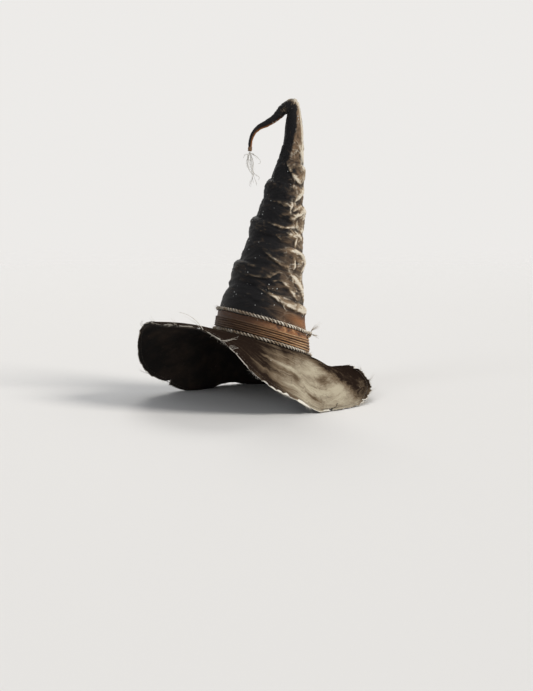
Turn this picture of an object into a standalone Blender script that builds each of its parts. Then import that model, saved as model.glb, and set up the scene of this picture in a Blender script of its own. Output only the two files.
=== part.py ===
# A slouched leather witch hat that stands on its brim.
# Metres. +X is the wearer's left, -Y the front, +Z up. Angles are in degrees.
# Azimuth 0 is +X, -90 the front, 180 the other side, 90 the back.
import bpy
import math
import numpy as np

# Head opening
HEAD_WIDTH = 0.170
HEAD_LENGTH = 0.196
# Layers of the crown, from the head outwards
SWEATBAND_THICK = 0.0015
SWEATBAND_HEIGHT = 0.036
LINING_THICK = 0.0007
LINING_HEIGHT = 0.295
CANVAS_THICK = 0.0010
CANVAS_HEIGHT = 0.160
LEATHER_THICK = 0.0019
LAYER_GAP = 0.0003
SLACK = 0.0015  # the inner layers hang clear of the folds by this above the band
# Layers of the brim
BRIM_TOP_THICK = 0.0016
BRIM_CANVAS_THICK = 0.0012
BRIM_UNDER_THICK = 0.0012
BRIM_SEAM = 0.008  # the canvas stops this far inside the edge
WIRE_INSET = 0.004
WIRE_DIA = 0.0012
SLEEVE_LENGTH = 0.022
# How the foot of the crown sits over the surface that the hat stands on
FOOT_HEIGHT = 0.1055
FOOT_ROLL = 16.0
FOOT_PITCH = 9.0
# Crown: height over the foot, shift to +X, shift to +Y, half width, roll, pitch
CROWN = (
    (0.068, 0.0040, 0.002, 0.0815, 16.0, 9.0),
    (0.132, 0.0160, 0.006, 0.0665, 16.0, 7.0),
    (0.213, 0.0308, 0.010, 0.0505, 15.0, 5.0),
    (0.304, 0.0472, 0.010, 0.0330, 12.0, 2.0),
    (0.378, 0.0595, 0.004, 0.0185, 2.0, 0.0),
)
ROUND_HEIGHT = 0.250  # from here up the crown is round, not oval
# Creases of the slouch: height, sway, azimuth of the sway, bulge above it, azimuth of the bulge
CREASES = (
    (0.060, 0.004, 20.0, 0.0060, 350.0),
    (0.096, 0.005, 170.0, 0.0085, 190.0),
    (0.145, 0.006, 60.0, 0.0060, 0.0),
    (0.185, 0.005, 250.0, 0.0080, 185.0),
    (0.226, 0.005, 130.0, 0.0065, 330.0),
    (0.266, 0.004, 300.0, 0.0065, 185.0),
    (0.305, 0.004, 90.0, 0.0050, 10.0),
    (0.342, 0.003, 200.0, 0.0035, 180.0),
    (0.374, 0.002, 0.0, 0.0, 0.0),
)
EVEN_BULGE = 0.6  # share of a bulge that runs all round
FOLDS_END = 0.09  # the folds fade out over this height under the neck
# Fold of the tip
FOLD_RISE = 0.4460
FOLD_SHIFT = 0.0582
FOLD_SETBACK = 0.000
FOLD_RADIUS = 0.0131
FOLD_CLEAR = 0.0006
NECK_ROLL = -42.0
NECK_WIDTH = 0.0178
NECK_DEPTH = 0.0142
# Tip, from the fold: out to -X, down, radius
TIP = (
    (0.0090, 0.0030, 0.0121),
    (0.0177, 0.0080, 0.0100),
    (0.0310, 0.0214, 0.0076),
    (0.0480, 0.0329, 0.0063),
    (0.0633, 0.0406, 0.0051),
    (0.0728, 0.0501, 0.0042),
    (0.0785, 0.0635, 0.0036),
    (0.0804, 0.0846, 0.0030),
)
SPINE_DIA = 0.0014
BINDING_THICK = 0.0011
BINDING_LENGTH = 0.007
TASSEL_LENGTH = 0.056
TASSEL_WIDTH = 0.019
TASSEL_DEPTH = 0.012
TASSEL_NECK = 0.0016
# Band
STRAP_THICK = 0.0014
STRAP_WIDTH = 0.031
THONG_DIA = 0.0032
THONG_TURNS = 5
THONG_PITCH = 0.0039
THONG_FAN = 0.36  # the turns lie this share further apart at the right
THONG_START = -12.0
ROPE_DIA = 0.0060
BAND_HEIGHT = 0.0390  # from the lower rope to the upper one
KNOT_WIDTH = 0.012
KNOT_HEIGHT = 0.009
ROPE_START = -10.0  # azimuth of the knot; the rope runs from it towards the front
CROSS_FROM = -290.0  # the rope goes from its upper turn to its lower one between these
CROSS_TO = -345.0
CROSS_REACH = 48.0  # the rope is back on the crown this far from the middle of the crossing
LOWER_TURN = 340.0
# Brim: azimuth, width outside the crown, height of the edge, rise of the lip
BRIM = (
    (-172.0, 0.1430, 0.1180, -52.0),
    (-160.0, 0.1390, 0.1490, -10.0),
    (-144.6, 0.1290, 0.1555, 8.0),
    (-130.7, 0.1230, 0.1575, 12.0),
    (-119.3, 0.1190, 0.1525, 8.0),
    (-105.4, 0.1160, 0.1240, -8.0),
    (-95.2, 0.1140, 0.0830, -32.0),
    (-86.9, 0.1085, 0.0545, -34.0),
    (-75.9, 0.1025, 0.0335, -26.0),
    (-64.7, 0.0995, 0.0120, -14.0),
    (-52.5, 0.1000, -0.0040, 0.0),
    (-37.5, 0.1045, -0.0040, 0.0),
    (-22.7, 0.1135, 0.0050, 8.0),
    (-8.2, 0.1170, 0.0170, 16.0),
    (2.7, 0.1190, 0.0260, 20.0),
    (16.5, 0.1190, 0.0380, 26.0),
    (32.7, 0.1175, 0.0490, 30.0),
    (45.6, 0.1120, 0.0410, 16.0),
    (62.0, 0.1020, 0.0150, -6.0),
    (76.0, 0.0960, -0.0040, 0.0),
    (95.0, 0.0920, -0.0040, 0.0),
    (114.0, 0.0850, 0.0060, -8.0),
    (132.0, 0.0800, -0.0040, 0.0),
    (146.0, 0.0880, -0.0040, 0.0),
    (160.0, 0.1150, 0.0220, -34.0),
    (172.0, 0.1400, 0.0530, -58.0),
)
BRIM_MARGIN = 0.004  # flat brim outside the lower rope
LEAST_EDGE = 0.0018  # the middle of the brim is never nearer to the surface it stands on
# Facets
CROWN_SIDES = 32
BRIM_SIDES = 48
TIP_SIDES = 12
LOOP_POINTS = 24
BRIM_STEPS = (0.17, 0.37, 0.58, 0.79)

for item in list(bpy.data.objects):
    bpy.data.objects.remove(item, do_unlink=True)


def material(name, colour, roughness, metallic=0.0):
    made = bpy.data.materials.new(name)
    made.use_nodes = True
    shader = made.node_tree.nodes["Principled BSDF"]
    shader.inputs["Base Color"].default_value = (*colour, 1.0)
    shader.inputs["Roughness"].default_value = roughness
    shader.inputs["Metallic"].default_value = metallic
    return made


def smooth(rows, at, around=False):
    # cubic through the rows: the first column is the place, the rest are the values
    table = np.array(rows, float)
    if around:
        before = table[-2:].copy()
        before[:, 0] -= 360.0
        after = table[:2].copy()
        after[:, 0] += 360.0
        table = np.vstack([before, table, after])
    place = table[:, 0]
    value = table[:, 1:]
    slope = np.gradient(value, place, axis=0)
    at = np.atleast_1d(np.asarray(at, float))
    k = np.clip(np.searchsorted(place, at) - 1, 0, len(place) - 2)
    span = (place[k + 1] - place[k])[:, None]
    t = np.clip((at - place[k])[:, None] / span, 0.0, 1.0)
    start = (2 * t**3 - 3 * t**2 + 1) * value[k] + (t**3 - 2 * t**2 + t) * span * slope[k]
    end = (3 * t**2 - 2 * t**3) * value[k + 1] + (t**3 - t**2) * span * slope[k + 1]
    return start + end


def axes(roll, pitch):
    # right, back and up of a ring whose +X side is rolled down and whose front is pitched up
    r = np.radians(roll)
    p = np.radians(pitch)
    none = np.zeros_like(r)
    right = np.stack([np.cos(r), none, -np.sin(r)], -1)
    back = np.stack([-np.sin(r) * np.sin(p), np.cos(p), -np.cos(r) * np.sin(p)], -1)
    up = np.stack([np.sin(r) * np.cos(p), np.sin(p), np.cos(r) * np.cos(p)], -1)
    return right, back, up


def finish(obj, paint, origin=(0.0, 0.0, 0.0), parent=None):
    obj.data.materials.append(paint)
    bpy.context.collection.objects.link(obj)
    obj.location = origin
    if parent:
        obj.parent = parent
        obj.location = np.array(origin) - np.array(parent["at"])
    return obj


def loops(name, rows, paint, origin=(0.0, 0.0, 0.0), parent=None, rear_first=False):
    # a closed body from loops of points: two single points close its ends,
    # and without them the last loop meets the first. Both faces of a sheet are
    # split along the same diagonals, so that sheets nest
    origin = np.array(origin, float)
    points = []
    index = []
    for row in rows:
        row = np.atleast_2d(row) - origin
        index.append(np.arange(len(points), len(points) + len(row)))
        points.extend(row.tolist())
    faces = []
    pairs = list(zip(index[:-1], index[1:]))
    if len(index[0]) > 1:
        pairs.append((index[-1], index[0]))
    for k, (low, high) in enumerate(pairs):
        on_rear = (k >= len(rows) // 2) != rear_first
        sides = max(len(low), len(high))
        for j in range(sides):
            n = (j + 1) % sides
            corner = [low[j % len(low)], low[n % len(low)], high[n % len(high)], high[j % len(high)]]
            corner = [int(c) for c in dict.fromkeys(corner)]
            if len(corner) == 4 and on_rear:
                faces.append((corner[0], corner[1], corner[3]))
                faces.append((corner[1], corner[2], corner[3]))
            elif len(corner) == 4:
                faces.append((corner[0], corner[1], corner[2]))
                faces.append((corner[0], corner[2], corner[3]))
            else:
                faces.append(tuple(corner))
    p = np.array(points)
    f = np.array(faces)
    if np.einsum("ij,ij->i", p[f[:, 0]], np.cross(p[f[:, 1]], p[f[:, 2]])).sum() < 0.0:
        f = f[:, ::-1]
    mesh = bpy.data.meshes.new(name)
    mesh.from_pydata(points, [], f.tolist())
    return finish(bpy.data.objects.new(name, mesh), paint, origin, parent)


def tube(name, path, dia, paint, resolution, origin=(0.0, 0.0, 0.0), parent=None):
    curve = bpy.data.curves.new(name, "CURVE")
    curve.dimensions = "3D"
    curve.bevel_depth = dia / 2
    curve.bevel_resolution = resolution
    curve.use_fill_caps = True
    spline = curve.splines.new("POLY")
    spline.points.add(len(path) - 1)
    for point, co in zip(spline.points, np.array(path) - np.array(origin)):
        point.co = (*co, 1.0)
    return finish(bpy.data.objects.new(name, curve), paint, origin, parent)


# Sizes that follow from those above
under_leather = SWEATBAND_THICK + LINING_THICK + CANVAS_THICK + 3 * LAYER_GAP
foot_half = np.array([HEAD_WIDTH, HEAD_LENGTH]) / 2 + under_leather + LEATHER_THICK
foot = np.array([0.0, 0.0, FOOT_HEIGHT])
fold = foot + np.array([FOLD_SHIFT, FOLD_SETBACK, FOLD_RISE])
neck = fold - np.array([0.0, 0.0, NECK_WIDTH - FOLD_CLEAR])
round_share = foot_half[1] / foot_half[0] - 1.0
band_top = BAND_HEIGHT + ROPE_DIA
stations = ((0.0, 0.0, 0.0, foot_half[0], FOOT_ROLL, FOOT_PITCH),) + CROWN
neck_row = (neck[2] - foot[2], neck[0], neck[1], NECK_WIDTH, NECK_ROLL, 0.0)
stations = stations + (neck_row,)
most_bulge = max(row[3] for row in CREASES)


def crown(height, azimuth, more=0.0):
    # points of the unfolded crown, moved outwards by more
    height = np.asarray(height, float)
    row = smooth(stations, height)
    right, back, _ = axes(row[:, 3], row[:, 4])
    a = np.radians(azimuth)
    t = np.clip(height / ROUND_HEIGHT, 0.0, 1.0)
    oval = 1.0 + round_share * (1.0 - t * t * (3 - 2 * t))
    top = np.clip((height - CROWN[-1][0]) / (neck_row[0] - CROWN[-1][0]), 0.0, 1.0)
    oval = oval + top * (NECK_DEPTH / NECK_WIDTH - 1.0)
    centre = foot + np.stack([row[:, 0], row[:, 1], height], -1)
    wide = (row[:, 2] + more) * np.cos(a)
    deep = (row[:, 2] * oval + more) * np.sin(a)
    return centre + wide[:, None] * right + deep[:, None] * back


def folded(height):
    # how far the creases pull the leather in: none at the band, in full above it
    t = np.clip((np.asarray(height) - band_top) / band_top, 0.0, 1.0)
    top = np.clip((neck_row[0] - np.asarray(height)) / FOLDS_END, 0.0, 1.0)
    return t * top


def crease_height(row, azimuth):
    return row[0] + row[1] * np.cos(np.radians(azimuth - row[2]))


turn = 360.0 / CROWN_SIDES * np.arange(CROWN_SIDES)
leather_loops = []
for height in (0.0, 0.5 * band_top, band_top):
    leather_loops.append((np.full(CROWN_SIDES, height), np.zeros(CROWN_SIDES)))
for low, high in zip(CREASES[:-1], CREASES[1:]):
    foot_line = crease_height(low, turn)
    head_line = crease_height(high, turn)
    lobe = EVEN_BULGE + (1.0 - EVEN_BULGE) * np.cos(np.radians(turn - low[4]))
    for share, swell in ((0.0, 0.0), (0.40, 0.72), (0.76, 1.0)):
        at = foot_line + share * (head_line - foot_line)
        leather_loops.append((at, low[3] * (swell * lobe - 0.5) * folded(at)))
for share in (0.0, 0.35, 0.7, 1.0):
    low = crease_height(CREASES[-1], turn)
    leather_loops.append((low + share * (neck_row[0] - low), np.zeros(CROWN_SIDES)))
outer = [crown(at, turn, more) for at, more in leather_loops]
inner = [crown(at, turn, more - LEATHER_THICK) for at, more in leather_loops]

# Layers inside the crown
hide = material("crown_leather", (0.052, 0.040, 0.031), 0.62)
cloth = material("lining_cloth", (0.030, 0.026, 0.023), 0.85)
canvas = material("stiff_canvas", (0.36, 0.31, 0.23), 0.9)
tan = material("sweatband_leather", (0.20, 0.115, 0.060), 0.55)
loops("crown_leather", outer + inner[::-1], hide)


def lined(height, outside):
    # loops of an inner layer whose face lies this far inside the leather
    ease = SLACK + 0.5 * most_bulge
    return crown(np.full(CROWN_SIDES, height), turn, -outside - ease * float(folded(height)))


def layer(name, heights, outside, thick, paint, closed=False):
    face = [lined(h, outside) for h in heights]
    rear = [lined(h, outside + thick) for h in heights]
    if closed:
        top = smooth(stations, heights[-1])[0]
        peak = foot + np.array([top[0], top[1], heights[-1]])
        rear[-1] = lined(heights[-1] - 2 * thick, outside + thick)
        lid = peak - np.array([0.0, 0.0, 2 * thick])
        return loops(name, [lid] + rear[::-1] + face + [peak], paint, rear_first=True)
    return loops(name, face + rear[::-1], paint)


canvas_steps = [0.0, 0.5 * band_top, band_top]
canvas_steps += list(np.linspace(band_top, CANVAS_HEIGHT, 5)[1:])
layer("crown_canvas", canvas_steps, LEATHER_THICK + LAYER_GAP, CANVAS_THICK, canvas)
lining_steps = canvas_steps + list(np.linspace(CANVAS_HEIGHT, LINING_HEIGHT, 5)[1:])
lining_at = LEATHER_THICK + CANVAS_THICK + 2 * LAYER_GAP
layer("crown_lining", lining_steps, lining_at, LINING_THICK, cloth, closed=True)
brim_stack = BRIM_TOP_THICK + BRIM_CANVAS_THICK + BRIM_UNDER_THICK + 3 * LAYER_GAP
sweat_at = lining_at + LINING_THICK + LAYER_GAP
sweat_steps = [0.0, 0.5 * SWEATBAND_HEIGHT, SWEATBAND_HEIGHT]


def foot_ring(height, half, sides=turn):
    # an oval in the plane of the foot, lifted along its normal
    right, back, up = axes(FOOT_ROLL, FOOT_PITCH)
    a = np.radians(sides)[:, None]
    return foot + height * up + half[0] * np.cos(a) * right + half[1] * np.sin(a) * back


head_half = foot_half - sweat_at
sweat_face = [foot_ring(-brim_stack, head_half)]
sweat_rear = [foot_ring(-brim_stack, head_half - SWEATBAND_THICK)]
for height in sweat_steps:
    sweat_face.append(crown(np.full(CROWN_SIDES, height), turn, -sweat_at))
    sweat_rear.append(crown(np.full(CROWN_SIDES, height), turn, -sweat_at - SWEATBAND_THICK))
loops("sweatband", sweat_face + sweat_rear[::-1], tan)

# Brim: the middle of its canvas is a surface from the head opening to the edge
spin = 360.0 / BRIM_SIDES * np.arange(BRIM_SIDES) - 180.0
ray = np.stack([np.cos(np.radians(spin)), np.sin(np.radians(spin))], -1)
drop = LAYER_GAP + BRIM_TOP_THICK + LAYER_GAP + BRIM_CANVAS_THICK / 2
edge_row = smooth(BRIM, spin, around=True)


def polar(half):
    return half[0] * half[1] / np.hypot(half[1] * ray[:, 0], half[0] * ray[:, 1])


def in_plane(radius):
    right, back, up = axes(FOOT_ROLL, FOOT_PITCH)
    return foot - drop * up + radius[:, None] * (ray[:, :1] * right + ray[:, 1:] * back)


def brim_middle():
    hole = in_plane(polar(head_half + LAYER_GAP))
    flat = in_plane(polar(foot_half) + ROPE_DIA + BRIM_MARGIN)
    reach = polar(foot_half) + edge_row[:, 0]
    edge = np.column_stack([ray * reach[:, None], edge_row[:, 1]])
    leave = flat - hole
    leave = leave / np.linalg.norm(leave, axis=1)[:, None]
    lip = np.radians(edge_row[:, 2])
    arrive = np.column_stack([ray * np.cos(lip)[:, None], np.sin(lip)])
    span = np.linalg.norm(edge - flat, axis=1)[:, None]
    run = edge_row[:, 0] - ROPE_DIA - BRIM_MARGIN
    steps = list(BRIM_STEPS)
    steps += [1.0 - BRIM_SEAM / run.mean(), 1.0 - WIRE_INSET / run.mean(), 1.0]
    rings = [hole, flat]
    for t in steps:
        ring = (2 * t**3 - 3 * t**2 + 1) * flat + (3 * t**2 - 2 * t**3) * edge
        ring = ring + (t**3 - 2 * t**2 + t) * span * leave * 0.9
        ring = ring + (t**3 - t**2) * span * arrive * 0.9
        ring[:, 2] = np.maximum(ring[:, 2], LEAST_EDGE)
        rings.append(ring)
    return np.array(rings)


middle = brim_middle()
along = np.gradient(middle, axis=0)
across = np.roll(middle, -1, axis=1) - np.roll(middle, 1, axis=1)
lift = np.cross(along, across)
lift = lift / np.linalg.norm(lift, axis=2)[:, :, None]
lift = lift * np.sign(lift[1, 0, 2])


def brim_layer(name, low, high, paint, rings=None, flat=False):
    sheet = middle[:rings]
    up = lift[:rings]
    top = list(sheet + high * up)
    under = sheet + low * up
    if flat:
        under[:, :, 2] = np.maximum(under[:, :, 2], 0.0)
    return loops(name, top + list(under)[::-1], paint)


suede = material("brim_leather", (0.30, 0.255, 0.195), 0.8)
dark = material("under_leather", (0.030, 0.026, 0.022), 0.75)
half = BRIM_CANVAS_THICK / 2
brim_layer("brim_top", half + LAYER_GAP, half + LAYER_GAP + BRIM_TOP_THICK, suede)
brim_layer("brim_canvas", -half, half, canvas, rings=-2)
brim_layer("brim_under", -half - LAYER_GAP - BRIM_UNDER_THICK, -half - LAYER_GAP, dark, flat=True)

# Wire in the edge, open at the back, where a sleeve joins its ends
steel = material("brim_wire_steel", (0.45, 0.45, 0.46), 0.35, 1.0)
round_edge = middle[-2]
back_at = int(np.argmin(np.abs(spin - 75.0)))
ring = np.roll(round_edge, -back_at - 1, axis=0)
begin = ring[-1]
step = (ring[0] - begin) / np.linalg.norm(ring[0] - begin)
wire_path = np.vstack([begin + step * (SLEEVE_LENGTH + LAYER_GAP), ring[:-1], begin])
tube("brim_wire", wire_path, WIRE_DIA, steel, 1)
sleeve_path = np.array([begin + step * LAYER_GAP, begin + step * SLEEVE_LENGTH])
tube("brim_wire_sleeve", sleeve_path, WIRE_DIA, steel, 1)

# Band
brown = material("strap_leather", (0.145, 0.072, 0.032), 0.55)
thong_skin = material("thong_leather", (0.26, 0.150, 0.072), 0.6)
hemp = material("rope_hemp", (0.38, 0.29, 0.185), 0.9)
rope_r = ROPE_DIA / 2
thong_r = THONG_DIA / 2
sag = foot_half[1] * (1.0 - math.cos(math.pi / LOOP_POINTS))
rope_low = rope_r + 2 * LAYER_GAP
rope_high = rope_low + BAND_HEIGHT
strap_low = rope_low + (BAND_HEIGHT - STRAP_WIDTH) / 2
strap_steps = [strap_low, strap_low + STRAP_WIDTH / 2, strap_low + STRAP_WIDTH]


def round_at(heights, more):
    return [crown(np.full(CROWN_SIDES, h), turn, more) for h in heights]


strap_face = round_at(strap_steps, LAYER_GAP + STRAP_THICK)
strap_rear = round_at(strap_steps, LAYER_GAP)
loops("band_strap", strap_face + strap_rear[::-1], brown)
thong_out = LAYER_GAP + STRAP_THICK + LAYER_GAP + thong_r + sag
thong_low = rope_low + rope_r + thong_r + 2 * LAYER_GAP
count = THONG_TURNS * LOOP_POINTS
wind = np.linspace(0.0, THONG_TURNS, count + 1)
thong_angle = THONG_START - 360.0 * wind
fan = 1.0 + THONG_FAN * (0.5 + 0.5 * np.cos(np.radians(thong_angle))) ** 4
thong_path = crown(thong_low + wind * THONG_PITCH * fan, thong_angle, thong_out)
tube("band_thong", thong_path, THONG_DIA, thong_skin, 1)

# Rope: the upper turn, a crossing over the thong at the right and back, the lower turn
rope_to = CROSS_TO - LOWER_TURN
rope_angle = np.arange(ROPE_START, rope_to - 1.0, -360.0 / LOOP_POINTS)
t = np.clip((rope_angle - CROSS_FROM) / (CROSS_TO - CROSS_FROM), 0.0, 1.0)
rope_rise = rope_high + (rope_low - rope_high) * t * t * (3 - 2 * t)
near = np.clip(1.0 - np.abs(rope_angle - (CROSS_FROM + CROSS_TO) / 2) / CROSS_REACH, 0.0, 1.0)
over = np.clip(near * 2.4, 0.0, 1.0)
rope_flat = LAYER_GAP + rope_r + sag
rope_over = thong_out + thong_r + LAYER_GAP + rope_r + sag
rope_path = crown(rope_rise, rope_angle, rope_flat + (rope_over - rope_flat) * over)
tube("band_rope", rope_path, ROPE_DIA, hemp, 1)


def self_gap(path, dia):
    # least distance between two stretches of a tube that aren't neighbours
    fine = np.linspace(0, len(path) - 1, 8 * len(path))
    base = np.floor(fine).astype(int).clip(0, len(path) - 2)
    dense = path[base] + (fine - base)[:, None] * (path[base + 1] - path[base])
    run = np.cumsum(np.r_[0.0, np.linalg.norm(np.diff(dense, axis=0), axis=1)])
    apart = np.linalg.norm(dense[:, None] - dense[None], axis=2)
    apart[np.abs(run[:, None] - run[None]) < 8 * dia] = 1.0
    return apart.min() - dia


print("least gap of the thong to itself, mm:", round(1000 * self_gap(thong_path, THONG_DIA), 2))
print("least gap of the rope to itself, mm:", round(1000 * self_gap(rope_path, ROPE_DIA), 2))

knot_out = LAYER_GAP + STRAP_THICK + LAYER_GAP + KNOT_HEIGHT / 2
knot_turn = ROPE_START + math.degrees((KNOT_WIDTH / 2 - LAYER_GAP) / (foot_half[0] + knot_out))
thong_top = thong_low + THONG_TURNS * THONG_PITCH * (1.0 + THONG_FAN) + thong_r
knot_rise = max(rope_high, thong_top + KNOT_HEIGHT / 2 + 4 * LAYER_GAP)
knot_at = crown(np.array([knot_rise]), np.array([knot_turn]), knot_out)[0]
right, back, up = axes(FOOT_ROLL, FOOT_PITCH)
side = np.radians(knot_turn)
outward = math.cos(side) * right + math.sin(side) * back
sideways = math.cos(side) * back - math.sin(side) * right
knot_rows = []
for level in (-0.8, -0.35, 0.35, 0.8):
    size = math.sqrt(1.0 - level * level)
    a = 2 * math.pi * np.arange(10)[:, None] / 10
    flat = KNOT_HEIGHT * np.cos(a) * outward + KNOT_WIDTH * np.sin(a) * sideways
    knot_rows.append(knot_at + level * KNOT_HEIGHT / 2 * up + size * flat / 2)
ends = [knot_at - KNOT_HEIGHT / 2 * up, knot_at + KNOT_HEIGHT / 2 * up]
loops("band_knot", ends[:1] + knot_rows + ends[1:], hemp)

# Tip: a rounded fold, then a curved tapering tail with a spine wire inside
tip_root = bpy.data.objects.new("tip", None)
bpy.context.collection.objects.link(tip_root)
tip_root.location = fold
tip_root["at"] = fold.tolist()
tail = np.array([(0.0, 0.0, FOLD_RADIUS)] + list(TIP))
centre = fold + np.column_stack([-tail[:, 0], np.zeros(len(tail)), -tail[:, 1]])
radius = tail[:, 2]
heading = np.gradient(centre, axis=0)
heading = heading / np.linalg.norm(heading, axis=1)[:, None]
heading[-1] = (0.0, 0.0, -1.0)
side_way = np.array([0.0, 1.0, 0.0])
ring_way = np.cross(heading, side_way)
a = 2 * math.pi * np.arange(TIP_SIDES)[:, None] / TIP_SIDES
bore = np.maximum(radius - LEATHER_THICK, SPINE_DIA / 2 + LAYER_GAP)


def tail_rings(size, ball):
    rows = [fold - heading[0] * ball]
    for lean in (-60.0, -30.0):
        at = fold + heading[0] * ball * math.sin(math.radians(lean))
        wide = ball * math.cos(math.radians(lean))
        rows.append(at + wide * (np.cos(a) * ring_way[0] + np.sin(a) * side_way))
    for k in range(len(tail)):
        rows.append(centre[k] + size[k] * (np.cos(a) * ring_way[k] + np.sin(a) * side_way))
    return rows


skin = tail_rings(radius, FOLD_RADIUS)
hollow = tail_rings(bore, FOLD_RADIUS - LEATHER_THICK)
loops("tip_tail", skin + hollow[::-1], hide, fold, tip_root)
tube("tip_wire", centre, SPINE_DIA, steel, 1, fold, tip_root)
end_r = radius[-1] + LAYER_GAP
thread = material("tassel_thread", (0.50, 0.475, 0.43), 0.9)
bind_rows = []
last = centre[-1]
slim = (radius[-2] - radius[-1]) / np.linalg.norm(centre[-1] - centre[-2])
for height in (0.0, BINDING_LENGTH):
    more = end_r + slim * height
    at = last + (centre[-2] - last) * height / np.linalg.norm(centre[-2] - last)
    ring = np.cos(a) * np.array([1.0, 0.0, 0.0]) + np.sin(a) * side_way
    bind_rows.append((at + more * ring, at + (more + BINDING_THICK) * ring))
bind = [bind_rows[0][1], bind_rows[1][1], bind_rows[1][0], bind_rows[0][0]]
loops("tip_binding", bind, thread, fold, tip_root)

# Tassel: it swings from a point just under the tip
swing = last - np.array([0.0, 0.0, TASSEL_NECK + 2 * LAYER_GAP])
tassel_rows = [swing + np.array([0.0, 0.0, TASSEL_NECK])]
shape = ((0.0, 0.0), (0.10, 0.16), (0.30, 0.55), (0.55, 1.0), (0.80, 0.85), (0.95, 0.45))
for share, wide in shape:
    at = swing - np.array([0.0, 0.0, share * TASSEL_LENGTH])
    ring = np.cos(a) * np.array([1.0, 0.0, 0.0]) * max(TASSEL_WIDTH / 2 * wide, TASSEL_NECK)
    ring = ring + np.sin(a) * side_way * max(TASSEL_DEPTH / 2 * wide, TASSEL_NECK)
    tassel_rows.append(at + ring)
tassel_rows.append(swing - np.array([0.0, 0.0, TASSEL_LENGTH]))
loops("tassel_threads", tassel_rows, thread, swing, tip_root)

# The origin is under the middle of the whole hat, on the surface that it stands on
bpy.context.view_layer.update()
graph = bpy.context.evaluated_depsgraph_get()
corners = []
for item in bpy.data.objects:
    if item.type == "EMPTY":
        continue
    solid = item.evaluated_get(graph).to_mesh()
    flat = np.empty(len(solid.vertices) * 3)
    solid.vertices.foreach_get("co", flat)
    world = np.array(item.matrix_world)
    corners.append(flat.reshape(-1, 3) @ world[:3, :3].T + world[:3, 3])
corners = np.vstack(corners)
least = corners.min(axis=0)
most = corners.max(axis=0)
move = np.array([-(least[0] + most[0]) / 2, -(least[1] + most[1]) / 2, -least[2]])
for item in bpy.data.objects:
    if item.parent is None:
        item.location = np.array(item.location) + move
print("foot centre, mm:", np.round(1000 * (foot + move), 2))
print("fold axis, mm:", np.round(1000 * (fold + move), 2))
print("tassel axis, mm:", np.round(1000 * (swing + move), 2))
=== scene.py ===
import math
import bpy
import numpy as np
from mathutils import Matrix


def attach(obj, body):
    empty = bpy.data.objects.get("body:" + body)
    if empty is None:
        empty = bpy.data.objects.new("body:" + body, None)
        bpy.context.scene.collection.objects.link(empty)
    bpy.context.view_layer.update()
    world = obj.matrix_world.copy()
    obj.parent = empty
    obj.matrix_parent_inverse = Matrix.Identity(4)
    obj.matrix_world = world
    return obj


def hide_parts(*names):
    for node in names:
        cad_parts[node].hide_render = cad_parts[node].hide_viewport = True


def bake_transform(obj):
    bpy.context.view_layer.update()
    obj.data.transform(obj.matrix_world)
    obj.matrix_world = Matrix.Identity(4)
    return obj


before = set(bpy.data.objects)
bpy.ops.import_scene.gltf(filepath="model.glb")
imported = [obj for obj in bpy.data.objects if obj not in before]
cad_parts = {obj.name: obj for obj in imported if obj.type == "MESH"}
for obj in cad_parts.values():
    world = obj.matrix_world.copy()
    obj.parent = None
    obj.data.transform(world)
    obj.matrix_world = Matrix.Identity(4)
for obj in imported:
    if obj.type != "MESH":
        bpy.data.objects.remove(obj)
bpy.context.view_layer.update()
scene = bpy.context.scene
scene.view_settings.view_transform = "Standard"
print("frame loaded:", len(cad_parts), "nodes")

# Shape of the hat, in metres and degrees. Azimuth 0 is +X, -90 the front, 90 the back
hat = {
    "foot": (0.01347, 0.0103, 0.1055),  # middle of the crown's foot
    "footHalf": (0.0910, 0.1040),  # half width and half depth there
    "roundHeight": 0.250,  # the oval foot has become round here
    "bandTop": 0.0450,
    "fold": (0.07167, 0.0103, 0.5515),  # axis of the folded tip
    "swing": (-0.00873, 0.0103, 0.4647),  # where the tassel hangs
    "neckDepth": 0.80,  # depth over width at the neck
    "layerGap": 0.0003,
    "seamAzimuth": 90.0,
    # height, shift to +X, shift to +Y, half width, roll, pitch
    "stations": (
        (0.000, 0.0000, 0.000, 0.0910, 16.0, 9.0),
        (0.068, 0.0040, 0.002, 0.0815, 16.0, 9.0),
        (0.132, 0.0160, 0.006, 0.0665, 16.0, 7.0),
        (0.213, 0.0308, 0.010, 0.0505, 15.0, 5.0),
        (0.304, 0.0472, 0.010, 0.0330, 12.0, 2.0),
        (0.378, 0.0595, 0.004, 0.0185, 2.0, 0.0),
        (0.4288, 0.0582, 0.000, 0.0178, -42.0, 0.0),
    ),
}
footPoint = np.array(hat["foot"])
neckHeight = hat["stations"][-1][0]
gap = hat["layerGap"]


# Numbers and curves

def smoothRows(rows, at, around=False):
    # cubic through the rows: first column is the place, the rest are values, slopes from neighbours
    table = np.array(rows, float)
    if around:
        before, after = table[-2:].copy(), table[:2].copy()
        before[:, 0] -= 360.0
        after[:, 0] += 360.0
        table = np.vstack([before, table, after])
    place, value = table[:, 0], table[:, 1:]
    slope = np.gradient(value, place, axis=0)
    at = np.asarray(at, float)
    k = np.clip(np.searchsorted(place, at) - 1, 0, len(place) - 2)
    span = (place[k + 1] - place[k])[..., None]
    t = np.clip((at - place[k])[..., None] / span, 0.0, 1.0)
    start = (2 * t**3 - 3 * t**2 + 1) * value[k] + (t**3 - 2 * t**2 + t) * span * slope[k]
    return start + (3 * t**2 - 2 * t**3) * value[k + 1] + (t**3 - t**2) * span * slope[k + 1]


def ease(low, high, value):
    # 0 below low, 1 above high, t²(3 - 2t) between
    t = np.clip((np.asarray(value, float) - low) / (high - low), 0.0, 1.0)
    return t * t * (3 - 2 * t)


def hump(distance, reach):
    # exp(-(distance / reach)²)
    return np.exp(-(distance / reach) ** 2)


def plus(row, share):
    # the row's first value, and its second by the share
    return row[0] + row[1] * share


def turned(angle):
    # degrees brought to -180..180
    return (np.asarray(angle, float) + 180.0) % 360.0 - 180.0


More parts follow.
